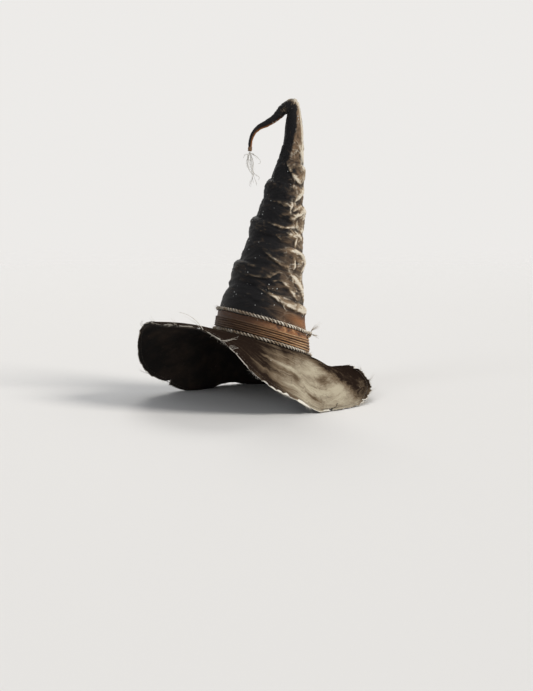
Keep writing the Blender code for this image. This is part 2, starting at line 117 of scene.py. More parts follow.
def between(window, azimuthAt):
    # rises over the first two azimuths of the window and falls over the last two
    side = turned(azimuthAt)
    return ease(window[0], window[1], side) * (1.0 - ease(window[2], window[3], side))


def spun(count):
    # azimuths of count columns, from the back seam round
    return hat["seamAzimuth"] + 360.0 * np.arange(count) / count


def ripples(azimuth, run, seed, count, around, along):
    # sum of sines sin(k·azimuth + w·run + p), whole k up to around, w about along radians a metre
    pick = np.random.default_rng(seed)
    total = np.zeros(np.broadcast(azimuth, run).shape)
    for _ in range(count):
        k = pick.integers(-around, around + 1)
        w = pick.normal() * along
        total = total + np.sin(k * np.radians(azimuth) + w * run + pick.uniform(0, 2 * math.pi))
    return total / math.sqrt(count)


def waves(rows, azimuth, run):
    # the rows' ripples added up: rise, then seed, count, around and along
    return sum(rise * ripples(azimuth, run, *row) for rise, *row in rows)


def unit(vector):
    return vector / np.maximum(np.linalg.norm(vector, axis=-1, keepdims=True), 1e-12)


def blurred(values, reach):
    # mean over a square window of rows and columns, columns run round
    wide = sum(np.roll(values, k, axis=1) for k in range(-reach, reach + 1)) / (2 * reach + 1)
    padded = np.pad(wide, ((reach, reach), (0, 0)), mode="edge")
    return sum(padded[k:k + len(values)] for k in range(2 * reach + 1)) / (2 * reach + 1)


def runAlong(points, *closing):
    # length from the first row to each row, as a mean over the columns, and on over the closing steps
    steps = np.linalg.norm(np.diff(points, axis=0), axis=-1)
    if steps.ndim > 1:
        steps = steps.mean(axis=1)
    return np.cumsum(np.r_[0.0, steps, list(closing)])


def resampled(at, run, points):
    return np.stack([np.interp(at, run, points[:, k]) for k in range(points.shape[1])], -1)


# Meshes

def putMesh(name, points, faces, corners, finish, body, stands=(), marks=None):
    # points (n, 3), faces as arrays of corner indices, corners (uv of each face corner)
    mesh = bpy.data.meshes.new(name)
    points = np.asarray(points, float).reshape(-1, 3)
    loops = np.concatenate([f.ravel() for f in faces])
    sizes = np.concatenate([np.full(len(f), f.shape[1]) for f in faces])
    mesh.vertices.add(len(points))
    mesh.vertices.foreach_set("co", points.astype(np.float32).ravel())
    mesh.loops.add(len(loops))
    mesh.loops.foreach_set("vertex_index", loops.astype(np.int32))
    mesh.polygons.add(len(sizes))
    mesh.polygons.foreach_set("loop_start", np.r_[0, np.cumsum(sizes)[:-1]].astype(np.int32))
    layer = mesh.uv_layers.new(name="UVMap")
    layer.data.foreach_set("uv", np.asarray(corners, np.float32).ravel())
    mesh.update(calc_edges=True)
    mesh.validate()
    mesh.shade_smooth()
    for label, value in (marks or {}).items():
        data = mesh.attributes.new(label, "FLOAT", "POINT").data
        data.foreach_set("value", np.asarray(value, np.float32).ravel())
    mesh.materials.append(finish)
    piece = bpy.data.objects.new(name, mesh)
    scene.collection.objects.link(piece)
    if body:
        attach(piece, body)
    if stands:
        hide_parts(*stands)
    return piece


def gridFaces(rows, columns, count=1, shut=False):
    # quads of count grids, each column joined to the next all the way round; shut joins the last row
    # to the first
    r = np.arange(rows if shut else rows - 1)
    c = np.arange(columns)
    g = np.arange(count)[:, None, None] * rows * columns
    low, high = r[None, :, None] * columns, ((r + 1) % rows)[None, :, None] * columns
    left, right = c[None, None, :], ((c + 1) % columns)[None, None, :]
    return np.stack([g + low + left, g + low + right, g + high + right, g + high + left], -1).reshape(-1, 4)


def gridCorners(u, v, count=1):
    # uv of the quads of gridFaces: u has one value more than there are columns, v one more than there
    # are rows of quads
    uu, vv = np.meshgrid(np.arange(len(u) - 1), np.arange(len(v) - 1))
    quad = np.stack([
        np.stack([u[uu], v[vv]], -1), np.stack([u[uu + 1], v[vv]], -1),
        np.stack([u[uu + 1], v[vv + 1]], -1), np.stack([u[uu], v[vv + 1]], -1)], 2)
    return np.tile(quad.reshape(1, -1, 2), (count, 1, 1)).reshape(-1, 2)


def putRing(name, points, girth, closing, finish, node, marks=None):
    # rows of points round the crown, outer face then inner face, closed both ways
    corners = gridCorners(np.linspace(0, girth, points.shape[1] + 1), runAlong(points[:, 0], closing))
    faces = [gridFaces(*points.shape[:2], shut=True)]
    return putMesh(name, points, faces, corners, finish, "hat", (node,), marks)


def putTubes(name, path, outline, upWay, finish, body, stands=(), marks=None):
    # profiles carried along paths. path (strands, rows, 3), outline (strands, rows, sides, 2) as
    # offsets along upWay made square to the path, and along the third direction; ends are capped
    strands, rows, sides = outline.shape[:3]
    along = unit(np.gradient(path, axis=1))
    first = unit(upWay - np.sum(upWay * along, -1, keepdims=True) * along)
    second = np.cross(along, first)
    points = path[:, :, None] + outline[..., :1] * first[:, :, None] + outline[..., 1:] * second[:, :, None]
    base = np.arange(strands)[:, None] * rows * sides
    caps = [base + np.arange(sides)[::-1], base + (rows - 1) * sides + np.arange(sides)]
    corners = gridCorners(np.linspace(0, 1, sides + 1), runAlong(path[0]), strands)
    corners = np.concatenate([corners, np.zeros((2 * strands * sides, 2))])
    faces = [gridFaces(rows, sides, strands)] + caps
    return putMesh(name, points, faces, corners, finish, body, stands, marks)


def roundOutline(radius, sides):
    # circle of the given radius at each row: (strands, rows) -> (strands, rows, sides, 2)
    t = 2 * np.pi * np.arange(sides) / sides
    return radius[..., None, None] * np.stack([np.cos(t), np.sin(t)], -1)


def curvedThreads(root, way, curl, power, rows):
    # root + way t + curl t^power, for t from 0 to 1
    t = np.linspace(0, 1, rows)[None, :, None]
    return root[:, None] + t * way[:, None] + t**power * curl[:, None]


# Nodes

class Signal:
    # an output of a node; sums and products of signals are math nodes in the same tree
    def __init__(self, graph, socket):
        self.graph = graph
        self.socket = socket

    def math(self, operation, other=0.0):
        return self.graph.out("ShaderNodeMath", {0: self, 1: other}, operation=operation)

    def __add__(self, other):
        return self.math("ADD", other)

    def __sub__(self, other):
        return self.math("SUBTRACT", other)

    def __mul__(self, other):
        return self.math("MULTIPLY", other)

    def ramp(self, low, high, first=0.0, last=1.0):
        # low..high to first..last, smooth at both ends
        links = {"Value": self, "From Min": low, "From Max": high, "To Min": first, "To Max": last}
        return self.graph.out("ShaderNodeMapRange", links, interpolation_type="SMOOTHSTEP")


class Graph:
    # a node tree, with short names for what the finishes use
    def __init__(self, tree):
        self.tree = tree

    def node(self, kind, links=None, **settings):
        # a new node; of its inputs in links, signals are linked and plain values are set
        made = self.tree.nodes.new(kind)
        for key, value in settings.items():
            setattr(made, key, value)
        for key, value in (links or {}).items():
            if isinstance(value, Signal):
                self.tree.links.new(value.socket, made.inputs[key])
            else:
                made.inputs[key].default_value = value
        return made

    def put(self, kind, links=None, **settings):
        # a new node's outputs by their names
        return {socket.name: Signal(self, socket) for socket in self.node(kind, links, **settings).outputs}

    def out(self, kind, links=None, which=0, **settings):
        return Signal(self, self.node(kind, links, **settings).outputs[which])

    def noise(self, vector, scale, detail=3.0, rough=0.55, distort=0.0):
        links = {"Vector": vector, "Scale": scale, "Detail": detail, "Roughness": rough}
        return self.out("ShaderNodeTexNoise", {**links, "Distortion": distort})

    def streaks(self, scale, detail, rough=0.55, distort=0.0, vector=None):
        # noise drawn out along the surface: scale is for the two ways of the uv
        links = {"Vector": vector or self.uv, "Scale": (*scale, 1.0)}
        return self.noise(self.out("ShaderNodeMapping", links), 1.0, detail, rough, distort)

    def cellEdges(self, vector, scale):
        links = {"Vector": vector, "Scale": scale}
        return self.out("ShaderNodeTexVoronoi", links, feature="DISTANCE_TO_EDGE")

    def mark(self, name):
        return self.put("ShaderNodeAttribute", attribute_name=name)["Fac"]

    def use(self, group, **links):
        return self.put("ShaderNodeGroup", links, node_tree=bpy.data.node_groups[group])

    def grain(self, pebble, crack):
        # leather with this many pebbles and cracks a metre
        return self.use("hideGrain", Vector=self.space, Pebble=pebble, Crack=crack)

    def rubbed(self, mask, scale, broken, vector=None):
        # the mask, broken up by this much with noise of this scale
        links = {"Vector": vector or self.space, "Mask": mask, "Scale": scale, "Break": broken}
        return self.use("rubbedMask", **links)["Mask"]

    def flecks(self, scale, share):
        # a dot in this share of the cells, with scale cells a metre
        return self.use("paleFlecks", Vector=self.space, Scale=scale, Share=share)["Mask"]

    def paint(self, base, *layers):
        # the base colour, then each (share, colour) laid over what is there
        base = (*base, 1.0)
        for share, colour in layers:
            links = {0: share, 6: base, 7: (*colour, 1.0)}
            base = self.out("ShaderNodeMix", links, 2, data_type="RGBA")
        self.tree.links.new(base.socket, self.shader.inputs["Base Color"])

    def surface(self, roughness, height, depth, strength):
        links = {"Height": height, "Distance": depth, "Strength": strength}
        self.tree.links.new(self.out("ShaderNodeBump", links).socket, self.shader.inputs["Normal"])
        self.tree.links.new(roughness.socket, self.shader.inputs["Roughness"])


def newGroup(name, inputs, outputs):
    # inputs are a vector and then numbers; the graph has them in given
    tree = bpy.data.node_groups.new(name, "ShaderNodeTree")
    tree.interface.new_socket("Vector", in_out="INPUT", socket_type="NodeSocketVector")
    for label, value in inputs.items():
        tree.interface.new_socket(label, in_out="INPUT", socket_type="NodeSocketFloat").default_value = value
    for label in outputs:
        tree.interface.new_socket(label, in_out="OUTPUT", socket_type="NodeSocketFloat")
    g = Graph(tree)
    g.given = {socket.name: Signal(g, socket) for socket in tree.nodes.new("NodeGroupInput").outputs}
    return g


def endGroup(g, **results):
    g.put("NodeGroupOutput", results)


# hide grain: pebbles from the distance to cell edges, pores, and dry cracks
g = newGroup("hideGrain", {"Pebble": 420.0, "Crack": 90.0}, ("Height", "Cracks", "Mottle"))
place = g.given["Vector"]
bend = {"Vector": place, "Scale": 55.0, "Detail": 3.0}
bend = {0: g.put("ShaderNodeTexNoise", bend)["Color"], 1: (0.02, 0.02, 0.02)}
bend = g.out("ShaderNodeVectorMath", bend, operation="MULTIPLY")
moved = g.out("ShaderNodeVectorMath", {0: place, 1: bend}, operation="ADD")
cracks = g.cellEdges(moved, g.given["Crack"]).ramp(0.0, 0.07, 1.0, 0.0)
cracks = cracks * g.noise(place, 26.0).ramp(0.48, 0.66)
pebbles = g.cellEdges(place, g.given["Pebble"]).ramp(0.0, 0.25)
height = pebbles * 0.6 + g.noise(place, 900.0, 2.0) * 0.4 - cracks
endGroup(g, Height=height, Cracks=cracks, Mottle=g.noise(place, 21.0, 5.0, 0.62))

# rubbed places: a mask broken up by noise
g = newGroup("rubbedMask", {"Mask": 0.0, "Scale": 70.0, "Break": 0.6}, ("Mask",))
broken = (g.noise(g.given["Vector"], g.given["Scale"], 5.0, 0.65) - 0.5) * g.given["Break"] * 2.0
endGroup(g, Mask=(g.given["Mask"] + broken).ramp(0.12, 0.85))

# pale flecks: one dot in some of the cells
g = newGroup("paleFlecks", {"Scale": 130.0, "Share": 0.16}, ("Mask",))
cells = g.put("ShaderNodeTexVoronoi", {"Vector": g.given["Vector"], "Scale": g.given["Scale"]})
chance, size, _ = g.put("ShaderNodeSeparateColor", {"Color": cells["Color"]}).values()
chosen = chance.math("LESS_THAN", g.given["Share"])
endGroup(g, Mask=chosen * cells["Distance"].math("LESS_THAN", size.ramp(0.0, 1.0, 0.05, 0.17)))

# yarn: fine lines that run askew along a strand, from its own uv
g = newGroup("yarnLines", {"Turns": 260.0, "Lines": 5.0}, ("Height", "Uneven"))
across, along, _ = g.put("ShaderNodeSeparateXYZ", {"Vector": g.given["Vector"]}).values()
wave = ((along * g.given["Turns"] + across * g.given["Lines"]) * 6.2832).math("SINE")
endGroup(g, Height=wave.ramp(-1.0, 1.0), Uneven=g.streaks((3.0, 240.0), 4.0, vector=g.given["Vector"]))

# plain weave: two crossed sets of threads
g = newGroup("plainWeave", {"Threads": 700.0}, ("Height",))
across, along, _ = g.put("ShaderNodeSeparateXYZ", {"Vector": g.given["Vector"]}).values()
crossed = (across * g.given["Threads"]).math("SINE") * (along * g.given["Threads"]).math("SINE")
endGroup(g, Height=crossed.ramp(-1.0, 1.0))
print("node groups made")


# Finishes

def newFinish(name, roughness, sheen=0.0, metallic=0.0, gloss=0.3):
    made = bpy.data.materials.new(name)
    made.use_nodes = True
    g = Graph(made.node_tree)
    g.made = made
    g.shader = made.node_tree.nodes["Principled BSDF"]
    settings = {"Roughness": roughness, "Metallic": metallic, "Specular IOR Level": gloss,
                "Sheen Weight": sheen, "Sheen Roughness": 0.5}
    for key, value in settings.items():
        g.shader.inputs[key].default_value = value
    where = g.put("ShaderNodeTexCoord")
    g.space, g.uv = where["Object"], where["UV"]
    return g


# Crown leather: near-black hide, brown on the side painted as lit, tan round the folds and pale on their
# crests as wear and painted highlight, painted shade in the hollows
crownLook = {
    "black": (0.0098, 0.0095, 0.0104), "brown": (0.195, 0.130, 0.080), "tan": (0.335, 0.250, 0.162),
    "pale": (0.68, 0.62, 0.51), "rust": (0.34, 0.140, 0.048), "fleck": (0.52, 0.53, 0.51)}
g = newFinish("crownHide", 0.6, gloss=0.09)
grain = g.grain(430.0, 75.0)
toneAndLightMark, wearAndHighlightMark = g.mark("toneAndLight"), g.mark("wearAndHighlight")
smear = g.streaks((16.0, 58.0), 4.0, 0.6, 0.9)
toneAndLight = toneAndLightMark + ((grain["Mottle"] - 0.5) * 0.9 + (smear - 0.56) * 1.7)
drawn = g.out("ShaderNodeMapping", {"Vector": g.uv, "Scale": (3.0, 9.0, 1.0)})
rub = g.rubbed(wearAndHighlightMark, 22.0, 0.5, drawn)
hairs = (g.streaks((55.0, 190.0), 6.0, 0.72, 0.8) - 0.5) * 1.5
# painted highlights: thin wisps where a smooth noise passes its middle, on the lit places only
contour = (g.streaks((19.0, 66.0), 1.6, 0.42, 0.7) - 0.5).math("ABSOLUTE")
lit = (wearAndHighlightMark + toneAndLightMark * 0.55).ramp(0.16, 0.72)
highlightWisps = contour.ramp(0.0, 0.046, 1.0, 0.0) * lit * g.noise(g.space, 42.0, 3.0).ramp(0.42, 0.60)
flecks = g.flecks(150.0, 0.55)
# painted light and shade: brown, tan, pale crests and wisps on the lit side, black from the shade mark in
# the hollows
g.paint(crownLook["black"],
        (toneAndLight.ramp(0.05, 1.0), crownLook["brown"]),
        (rub, crownLook["tan"]),
        ((wearAndHighlightMark + hairs).ramp(0.50, 1.00), crownLook["pale"]),
        (highlightWisps * hairs.ramp(-0.30, 0.22) * 0.85, crownLook["pale"]),
        (g.mark("rust"), crownLook["rust"]),
        (g.mark("shade") * 0.8, crownLook["black"]),
        (grain["Cracks"] * 0.5, crownLook["black"]),
        (flecks * g.noise(g.space, 24.0, 2.0).ramp(0.46, 0.56, 0.0, 0.95), crownLook["fleck"]))
g.surface(rub.ramp(0.0, 1.0, 0.52, 0.72), grain["Height"] + (hairs * 0.8 + highlightWisps * 1.6), 0.0006, 0.7)
crownHide = g.made

# Brim leather: napped, brushed along the rim, pale where it is bleached and painted as lit, dark where shade
# is painted, raw and white where it is torn
brimLook = {
    "brown": (0.020, 0.0128, 0.0095), "mid": (0.165, 0.122, 0.080), "pale": (0.47, 0.42, 0.315),
    "rim": (0.80, 0.77, 0.69), "cut": (0.006, 0.005, 0.004), "fleck": (0.70, 0.66, 0.58)}
g = newFinish("brimHide", 0.8, gloss=0.0)
grain = g.grain(520.0, 60.0)
cloud = g.noise(g.space, 15.0, 6.0, 0.62, 0.5)
drag = g.streaks((11.0, 85.0), 6.0, 0.65, 0.7)
hairs = g.streaks((60.0, 480.0), 5.0, 0.7, 0.5)
toneAndLight = g.mark("pale") + (cloud - 0.5 + (drag - 0.5) * 1.15 + (hairs - 0.5) * 0.55) * 1.15
rub = g.rubbed(g.mark("rim"), 230.0, 0.55)
flecks = g.flecks(100.0, 0.10)
# slit: a cut that narrows from the rim inwards, from the distance to its line, painted dark as the shade
# inside the cut
cutRun = g.mark("cutRun")
slit = (g.mark("cutOff").math("ABSOLUTE") - cutRun * 0.7).ramp(0.10, 0.40, 1.0, 0.0)
slit = slit * cutRun.math("GREATER_THAN", 0.0)
g.paint(brimLook["brown"],
        (toneAndLight.ramp(-0.02, 0.58), brimLook["mid"]),
        (toneAndLight.ramp(0.40, 1.12), brimLook["pale"]),
        (grain["Cracks"] * 0.35, brimLook["brown"]),
        (rub, brimLook["rim"]),
        (flecks * 0.5, brimLook["fleck"]),
        (slit, brimLook["cut"]))
nap = grain["Height"] + drag * 1.2 + hairs * 1.4
g.surface(toneAndLight.ramp(0.0, 1.0, 0.72, 0.88), nap - slit * 3.0, 0.0007, 0.7)
brimHide = g.made

# Under leather: dark and matt with brown rub marks
underLook = {"black": (0.014, 0.012, 0.011), "brown": (0.046, 0.032, 0.024), "rim": (0.26, 0.21, 0.15)}
g = newFinish("underHide", 0.72, gloss=0.10)
grain = g.grain(460.0, 70.0)
rub = g.rubbed(g.mark("rim"), 190.0, 0.7)
flecks = g.flecks(90.0, 0.05)
g.paint(underLook["black"],
        (grain["Mottle"].ramp(0.38, 0.75), underLook["brown"]),
        (rub, underLook["rim"]),
        (flecks * 0.3, underLook["rim"]))
g.surface(grain["Mottle"].ramp(0.3, 0.8, 0.62, 0.8), grain["Height"], 0.0005, 0.6)
underHide = g.made


def leatherFinish(name, dark, base, light, roughness, lineScale):
    # creased strap leather: lines along the piece, lighter where it is bent and where a highlight is
    # painted, darker where shade is painted
    g = newFinish(name, roughness, 0.05)
    grain = g.grain(600.0, 110.0)
    lines = g.streaks(lineScale, 5.0, 0.65)
    rub = g.rubbed(g.mark("wearAndHighlight"), 120.0, 0.5)
    g.paint(dark, (lines.ramp(0.36, 0.54), base), (rub, light), (g.mark("shade") * 0.92, dark))
    matt = lines.ramp(0.3, 0.7, roughness - 0.08, roughness + 0.1)
    g.surface(matt, grain["Height"] + lines * 1.5, 0.0005, 0.7)
    return g.made


def threadFinish(name, dark, base, light, turns, lines, roughness=0.9, crest=0.0):
    # spun thread or rope: askew lines from the strand's uv, uneven colour along it, a painted highlight on
    # the outer crests and painted shade from the shade mark
    g = newFinish(name, roughness, 0.2)
    yarn = g.use("yarnLines", Vector=g.uv, Turns=turns, Lines=lines)
    patch = g.noise(g.space, 60.0, 4.0)
    shade = g.mark("shade")
    g.paint(dark,
            (yarn["Height"].ramp(0.0, 0.7), base),
            (patch.ramp(0.36, 0.60) * yarn["Uneven"].ramp(0.35, 0.62), light),
            (shade.ramp(0.0, 0.45, crest, 0.0) * patch.ramp(0.34, 0.62), light),
            (shade * 0.9, tuple(0.3 * c for c in dark)))
    g.surface(patch.ramp(0.3, 0.7, roughness - 0.1, roughness), yarn["Height"], 0.0003, 0.8)
    return g.made


def clothFinish(name, dark, base, threads, useUv):
    # plain weave with darker patches
    g = newFinish(name, 0.88, 0.1)
    weave = g.use("plainWeave", Vector=g.uv if useUv else g.space, Threads=threads)["Height"]
    patch = g.noise(g.space, 30.0, 4.0)
    g.paint(dark, (weave.ramp(0.1, 0.8), base), (patch.ramp(0.45, 0.75, 0.0, 0.5), dark))
    g.surface(patch.ramp(0.3, 0.7, 0.82, 0.92), weave, 0.0003, 0.7)
    return g.made


# strap and sweatband leather: dark, base and light colour, roughness, scale of the lines
strapHide = leatherFinish(
    "strapHide", (0.050, 0.020, 0.008), (0.27, 0.112, 0.038), (0.44, 0.235, 0.105), 0.55, (4.0, 160.0))
thongHide = leatherFinish(
    "thongHide", (0.040, 0.018, 0.008), (0.34, 0.170, 0.066), (0.64, 0.45, 0.26), 0.6, (6.0, 30.0))
sweatHide = leatherFinish(
    "sweatHide", (0.085, 0.045, 0.022), (0.205, 0.118, 0.060), (0.33, 0.22, 0.13), 0.5, (5.0, 40.0))
# threads: dark, base and light colour, turns a metre, lines round the strand, and for the rope the strength
# of the painted highlight on its outer crests
ropeHemp = threadFinish(
    "ropeHemp", (0.10, 0.052, 0.024), (0.44, 0.32, 0.195), (0.86, 0.80, 0.68), 420.0, 4.0, crest=0.9)
tasselThread = threadFinish(
    "tasselThread", (0.46, 0.44, 0.40), (0.66, 0.64, 0.59), (0.84, 0.82, 0.77), 900.0, 2.0)
rimFibre = threadFinish(
    "rimFibre", (0.46, 0.41, 0.33), (0.70, 0.65, 0.55), (0.86, 0.83, 0.76), 900.0, 2.0)
whipThread = threadFinish(
    "whipThread", (0.045, 0.020, 0.009), (0.20, 0.095, 0.038), (0.40, 0.24, 0.12), 700.0, 3.0)
darkThread = threadFinish(
    "darkThread", (0.020, 0.015, 0.012), (0.070, 0.050, 0.035), (0.16, 0.12, 0.085), 800.0, 3.0, 0.75)
# cloth: dark and base colour, threads, and whether the weave follows the piece's uv
stiffCanvas = clothFinish("stiffCanvas", (0.20, 0.165, 0.115), (0.40, 0.345, 0.26), 3600.0, False)
liningCloth = clothFinish("liningCloth", (0.012, 0.010, 0.009), (0.045, 0.038, 0.033), 5200.0, True)

g = newFinish("wireSteel", 0.35, metallic=1.0)
drawn = g.out("ShaderNodeMapping", {"Vector": g.space, "Scale": (300.0, 300.0, 300.0)})
drawn = g.noise(drawn, 1.0, 3.0)
g.paint((0.30, 0.29, 0.28), (drawn.ramp(0.35, 0.7), (0.50, 0.50, 0.51)))
g.tree.links.new(drawn.ramp(0.3, 0.7, 0.28, 0.5).socket, g.shader.inputs["Roughness"])
wireSteel = g.made
for node, finish in (("crown_canvas", stiffCanvas), ("tip_wire", wireSteel)):
    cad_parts[node].data.materials.clear()
    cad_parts[node].data.materials.append(finish)
print("materials made")


# Crown surface

def ringAxes(roll, pitch):
    # right, back and up of a ring whose +X side is rolled down and whose front is pitched up
    r, p = np.radians(roll), np.radians(pitch)
    right = np.stack([np.cos(r), np.zeros_like(r), -np.sin(r)], -1)
    back = np.stack([-np.sin(r) * np.sin(p), np.cos(p), -np.cos(r) * np.sin(p)], -1)
    up = np.stack([np.sin(r) * np.cos(p), np.sin(p), np.cos(r) * np.cos(p)], -1)
    return right, back, up


def crownAt(height, azimuth, more=0.0):
    # foot + shift + (half + more) cos a right + (half · oval + more) sin a back, on tilted rings
    height, azimuth, more = np.broadcast_arrays(np.asarray(height, float), azimuth, more)
    row = smoothRows(hat["stations"], height)
    right, back, _ = ringAxes(row[..., 3], row[..., 4])
    footOval = hat["footHalf"][1] / hat["footHalf"][0]
    oval = 1.0 + (footOval - 1.0) * (1.0 - ease(0.0, hat["roundHeight"], height))
    last = hat["stations"][-2][0]
    oval = oval + np.clip((height - last) / (neckHeight - last), 0.0, 1.0) * (hat["neckDepth"] - 1.0)
    centre = footPoint + np.stack([row[..., 0], row[..., 1], height], -1)
    a = np.radians(azimuth)
    wide = (row[..., 2] + more) * np.cos(a)
    deep = (row[..., 2] * oval + more) * np.sin(a)
    return centre + wide[..., None] * right + deep[..., None] * back


# Folds of the slouched crown
folds = {
    # height of a crease, sway, azimuth of the sway, bulge above it, azimuth of the bulge
    "creases": (
        (0.060, 0.004, 20.0, 0.0060, 350.0),
        (0.096, 0.005, 170.0, 0.0085, 190.0),
        (0.145, 0.006, 60.0, 0.0060, 0.0),
        (0.185, 0.005, 250.0, 0.0080, 185.0),
        (0.226, 0.005, 130.0, 0.0065, 330.0),
        (0.266, 0.004, 300.0, 0.0065, 185.0),
        (0.305, 0.004, 90.0, 0.0050, 10.0),
        (0.342, 0.003, 200.0, 0.0035, 180.0),
        (0.374, 0.002, 0.0, 0.0, 0.0),
    ),
    "even": 0.6,  # share of a bulge that runs all the way round
    "swellTop": 0.76, "dropPower": 0.6,  # a bulge is highest at this share of its height, then drops
    "fade": 0.09,  # the folds end over this height under the neck
    # drag folds: rise, half width (both mm), paleness (wear and painted highlight), then azimuth and height
    # (mm) along the crest
    "ridges": (
        (2.6, 3.2, 0.95, ((-112, 345), (-98, 333), (-83, 323), (-66, 314), (-52, 308), (-36, 306),
                          (-20, 309))),
        (1.6, 2.6, 0.60, ((-71, 384), (-57, 370), (-44, 361), (-32, 354), (-10, 345), (10, 342))),
        (1.5, 3.0, 0.30, ((-99, 345), (-95, 362), (-88, 382), (-74, 404), (-66, 418), (-58, 428))),
        (1.8, 3.0, 0.35, ((-140, 308), (-122, 302), (-106, 300), (-88, 303))),
        (2.0, 3.2, 0.45, ((-150, 270), (-126, 263), (-97, 263), (-66, 263))),
        (3.0, 4.2, 1.00, ((-76, 259), (-69, 262), (-55, 273), (-40, 283), (-16, 293), (8, 300))),
        (2.8, 3.6, 0.80, ((-140, 229), (-129, 225), (-105, 221), (-85, 219), (-66, 222), (-50, 225),
                          (-26, 222), (6, 226))),
        (2.0, 3.4, 0.55, ((-88, 227), (-79, 230), (-65, 237), (-49, 247), (-24, 257), (6, 262))),
        (1.4, 2.4, 0.75, ((-60, 237), (-52, 232), (-46, 227), (-38, 219))),
        (1.2, 2.6, 0.60, ((-24, 284), (-18, 272), (-20, 256), (-30, 240))),
        (2.4, 3.2, 0.80, ((-66, 180), (-59, 181), (-47, 183), (-33, 180), (-18, 173), (-4, 164))),
        (1.6, 2.6, 0.80, ((-42, 210), (-46, 202), (-47, 193), (-48, 182))),
        (1.6, 3.0, 0.70, ((10, 181), (4, 174), (-5, 168), (-17, 158), (-24, 150))),
        (2.4, 3.4, 0.66, ((-118, 170), (-106, 165), (-98, 161), (-86, 156), (-78, 150), (-71, 148))),
        (1.6, 2.8, 0.66, ((-71, 148), (-66, 149), (-60, 151))),
        (1.8, 2.6, 0.85, ((-50, 147), (-47, 154), (-48, 161), (-52, 170))),
        (2.2, 3.2, 0.60, ((-136, 114), (-119, 115), (-103, 117), (-91, 122), (-84, 130), (-80, 137))),
        (1.4, 2.4, 0.50, ((-83, 133), (-78, 135), (-72, 131))),
        (2.8, 4.4, 0.75, ((-70, 150), (-63, 145), (-51, 135), (-38, 125), (-24, 116), (-8, 104), (8, 92))),
        (1.8, 4.2, 0.50, ((-76, 124), (-68, 119), (-56, 110), (-43, 100), (-30, 88))),
        (3.2, 3.8, 0.90, ((-120, 103), (-108, 98), (-96, 94), (-85, 91), (-71, 83), (-60, 79), (-47, 77),
                          (-30, 77), (-5, 80), (20, 86))),
        (1.5, 3.2, 0.45, ((-98, 104), (-91, 100), (-79, 95), (-66, 92), (-50, 92))),
        (1.8, 3.6, 0.40, ((-122, 82), (-113, 77), (-101, 71), (-89, 67), (-80, 61))),
        (0.8, 1.6, 0.90, ((-97, 204), (-89, 199), (-81, 195))),
        (1.8, 3.6, 0.30, ((-156, 141), (-142, 138), (-121, 135), (-104, 136))),
        (1.8, 3.6, 0.30, ((-152, 210), (-138, 206), (-115, 200), (-98, 201))),
        (1.6, 3.4, 0.30, ((-158, 189), (-146, 183), (-130, 176), (-113, 169))),
        (1.4, 2.8, 0.40, ((-88, 243), (-76, 246), (-62, 254), (-46, 264), (-28, 270))),
        (1.3, 2.8, 0.45, ((-64, 206), (-52, 212), (-36, 212), (-14, 206))),
        (1.2, 2.8, 0.40, ((-100, 140), (-90, 144), (-82, 142))),
        (2.6, 4.6, 0.45, ((20, 118), (45, 108), (72, 104), (98, 112), (120, 122))),
        (2.4, 4.2, 0.40, ((-8, 210), (18, 202), (50, 206), (84, 196), (112, 204))),
        (2.6, 4.4, 0.45, ((60, 158), (88, 166), (120, 158), (150, 150), (176, 156))),
        (2.2, 3.8, 0.40, ((30, 262), (62, 254), (98, 258), (140, 248))),
        (2.2, 4.4, 0.35, ((128, 92), (156, 100), (186, 94), (214, 104))),
        (2.0, 3.6, 0.35, ((134, 214), (164, 222), (196, 212))),
        (1.8, 3.2, 0.35, ((18, 318), (60, 308), (104, 314), (150, 306))),
        (2.2, 2.6, 0.45, ((-14, 376), (14, 366), (46, 362), (84, 368), (112, 378))),
        (2.4, 2.4, 0.40, ((6, 402), (34, 391), (66, 388), (98, 394))),
        (2.0, 2.4, 0.35, ((64, 352), (96, 344), (134, 346), (170, 338))),
        (2.6, 2.2, 0.40, ((-6, 414), (16, 408), (48, 410))),
    ),
    # reach of a crest above and below its line, of its paleness, and the groove under it, in half widths
    "crest": (2.3, 0.85), "rub": (0.85, 0.6), "groove": {"at": 1.8, "reach": 0.8, "depth": 0.6},
    "taper": (0.06, 0.88, 0.8),  # a crest's ends: share of a sine's half wave it starts at and covers, power
    # the paleness comes and goes: strength, radians a metre, shift by the rise and by the width
    "patchy": ((0.42, 190.0, 7.0, 0.0), (0.30, 470.0, 0.0, 3.0)),
    # folds that fork off the paler drag folds: spacing and length (m), share of the parent's rise and width
    "forks": {"spacing": 0.015, "length": (0.007, 0.024), "turn": (14.0, 48.0), "rise": 0.55, "width": 0.52,
              "pale": (0.7, 1.25), "leastPale": 0.42, "seed": 17},
    # wrinkles all over: their lines wander by the first row; rise (m), then the waves
    "wander": (0.006, 11, 8, 3, 40.0),
    "broad": (0.0013, 12, 14, 4, 150.0),
    "middle": (0.0008, 13, 18, 9, 380.0),
    "fine": (0.0002, 14, 24, 22, 900.0),
    "sunk": 0.0008,  # the wrinkles lie this much lower than the cone
    "seamDepth": 0.0009, "seamReach": 0.0011,
}


def crestKnots(line):
    # a crest drawn in azimuths and mm, laid flat in metres at the girth of its mean height
    line = np.array(line, float)
    up = line[:, 1] / 1000.0
    girth = smoothRows(hat["stations"], up.mean())[2]
    return np.stack([np.radians(line[:, 0]) * girth, up], -1), girth


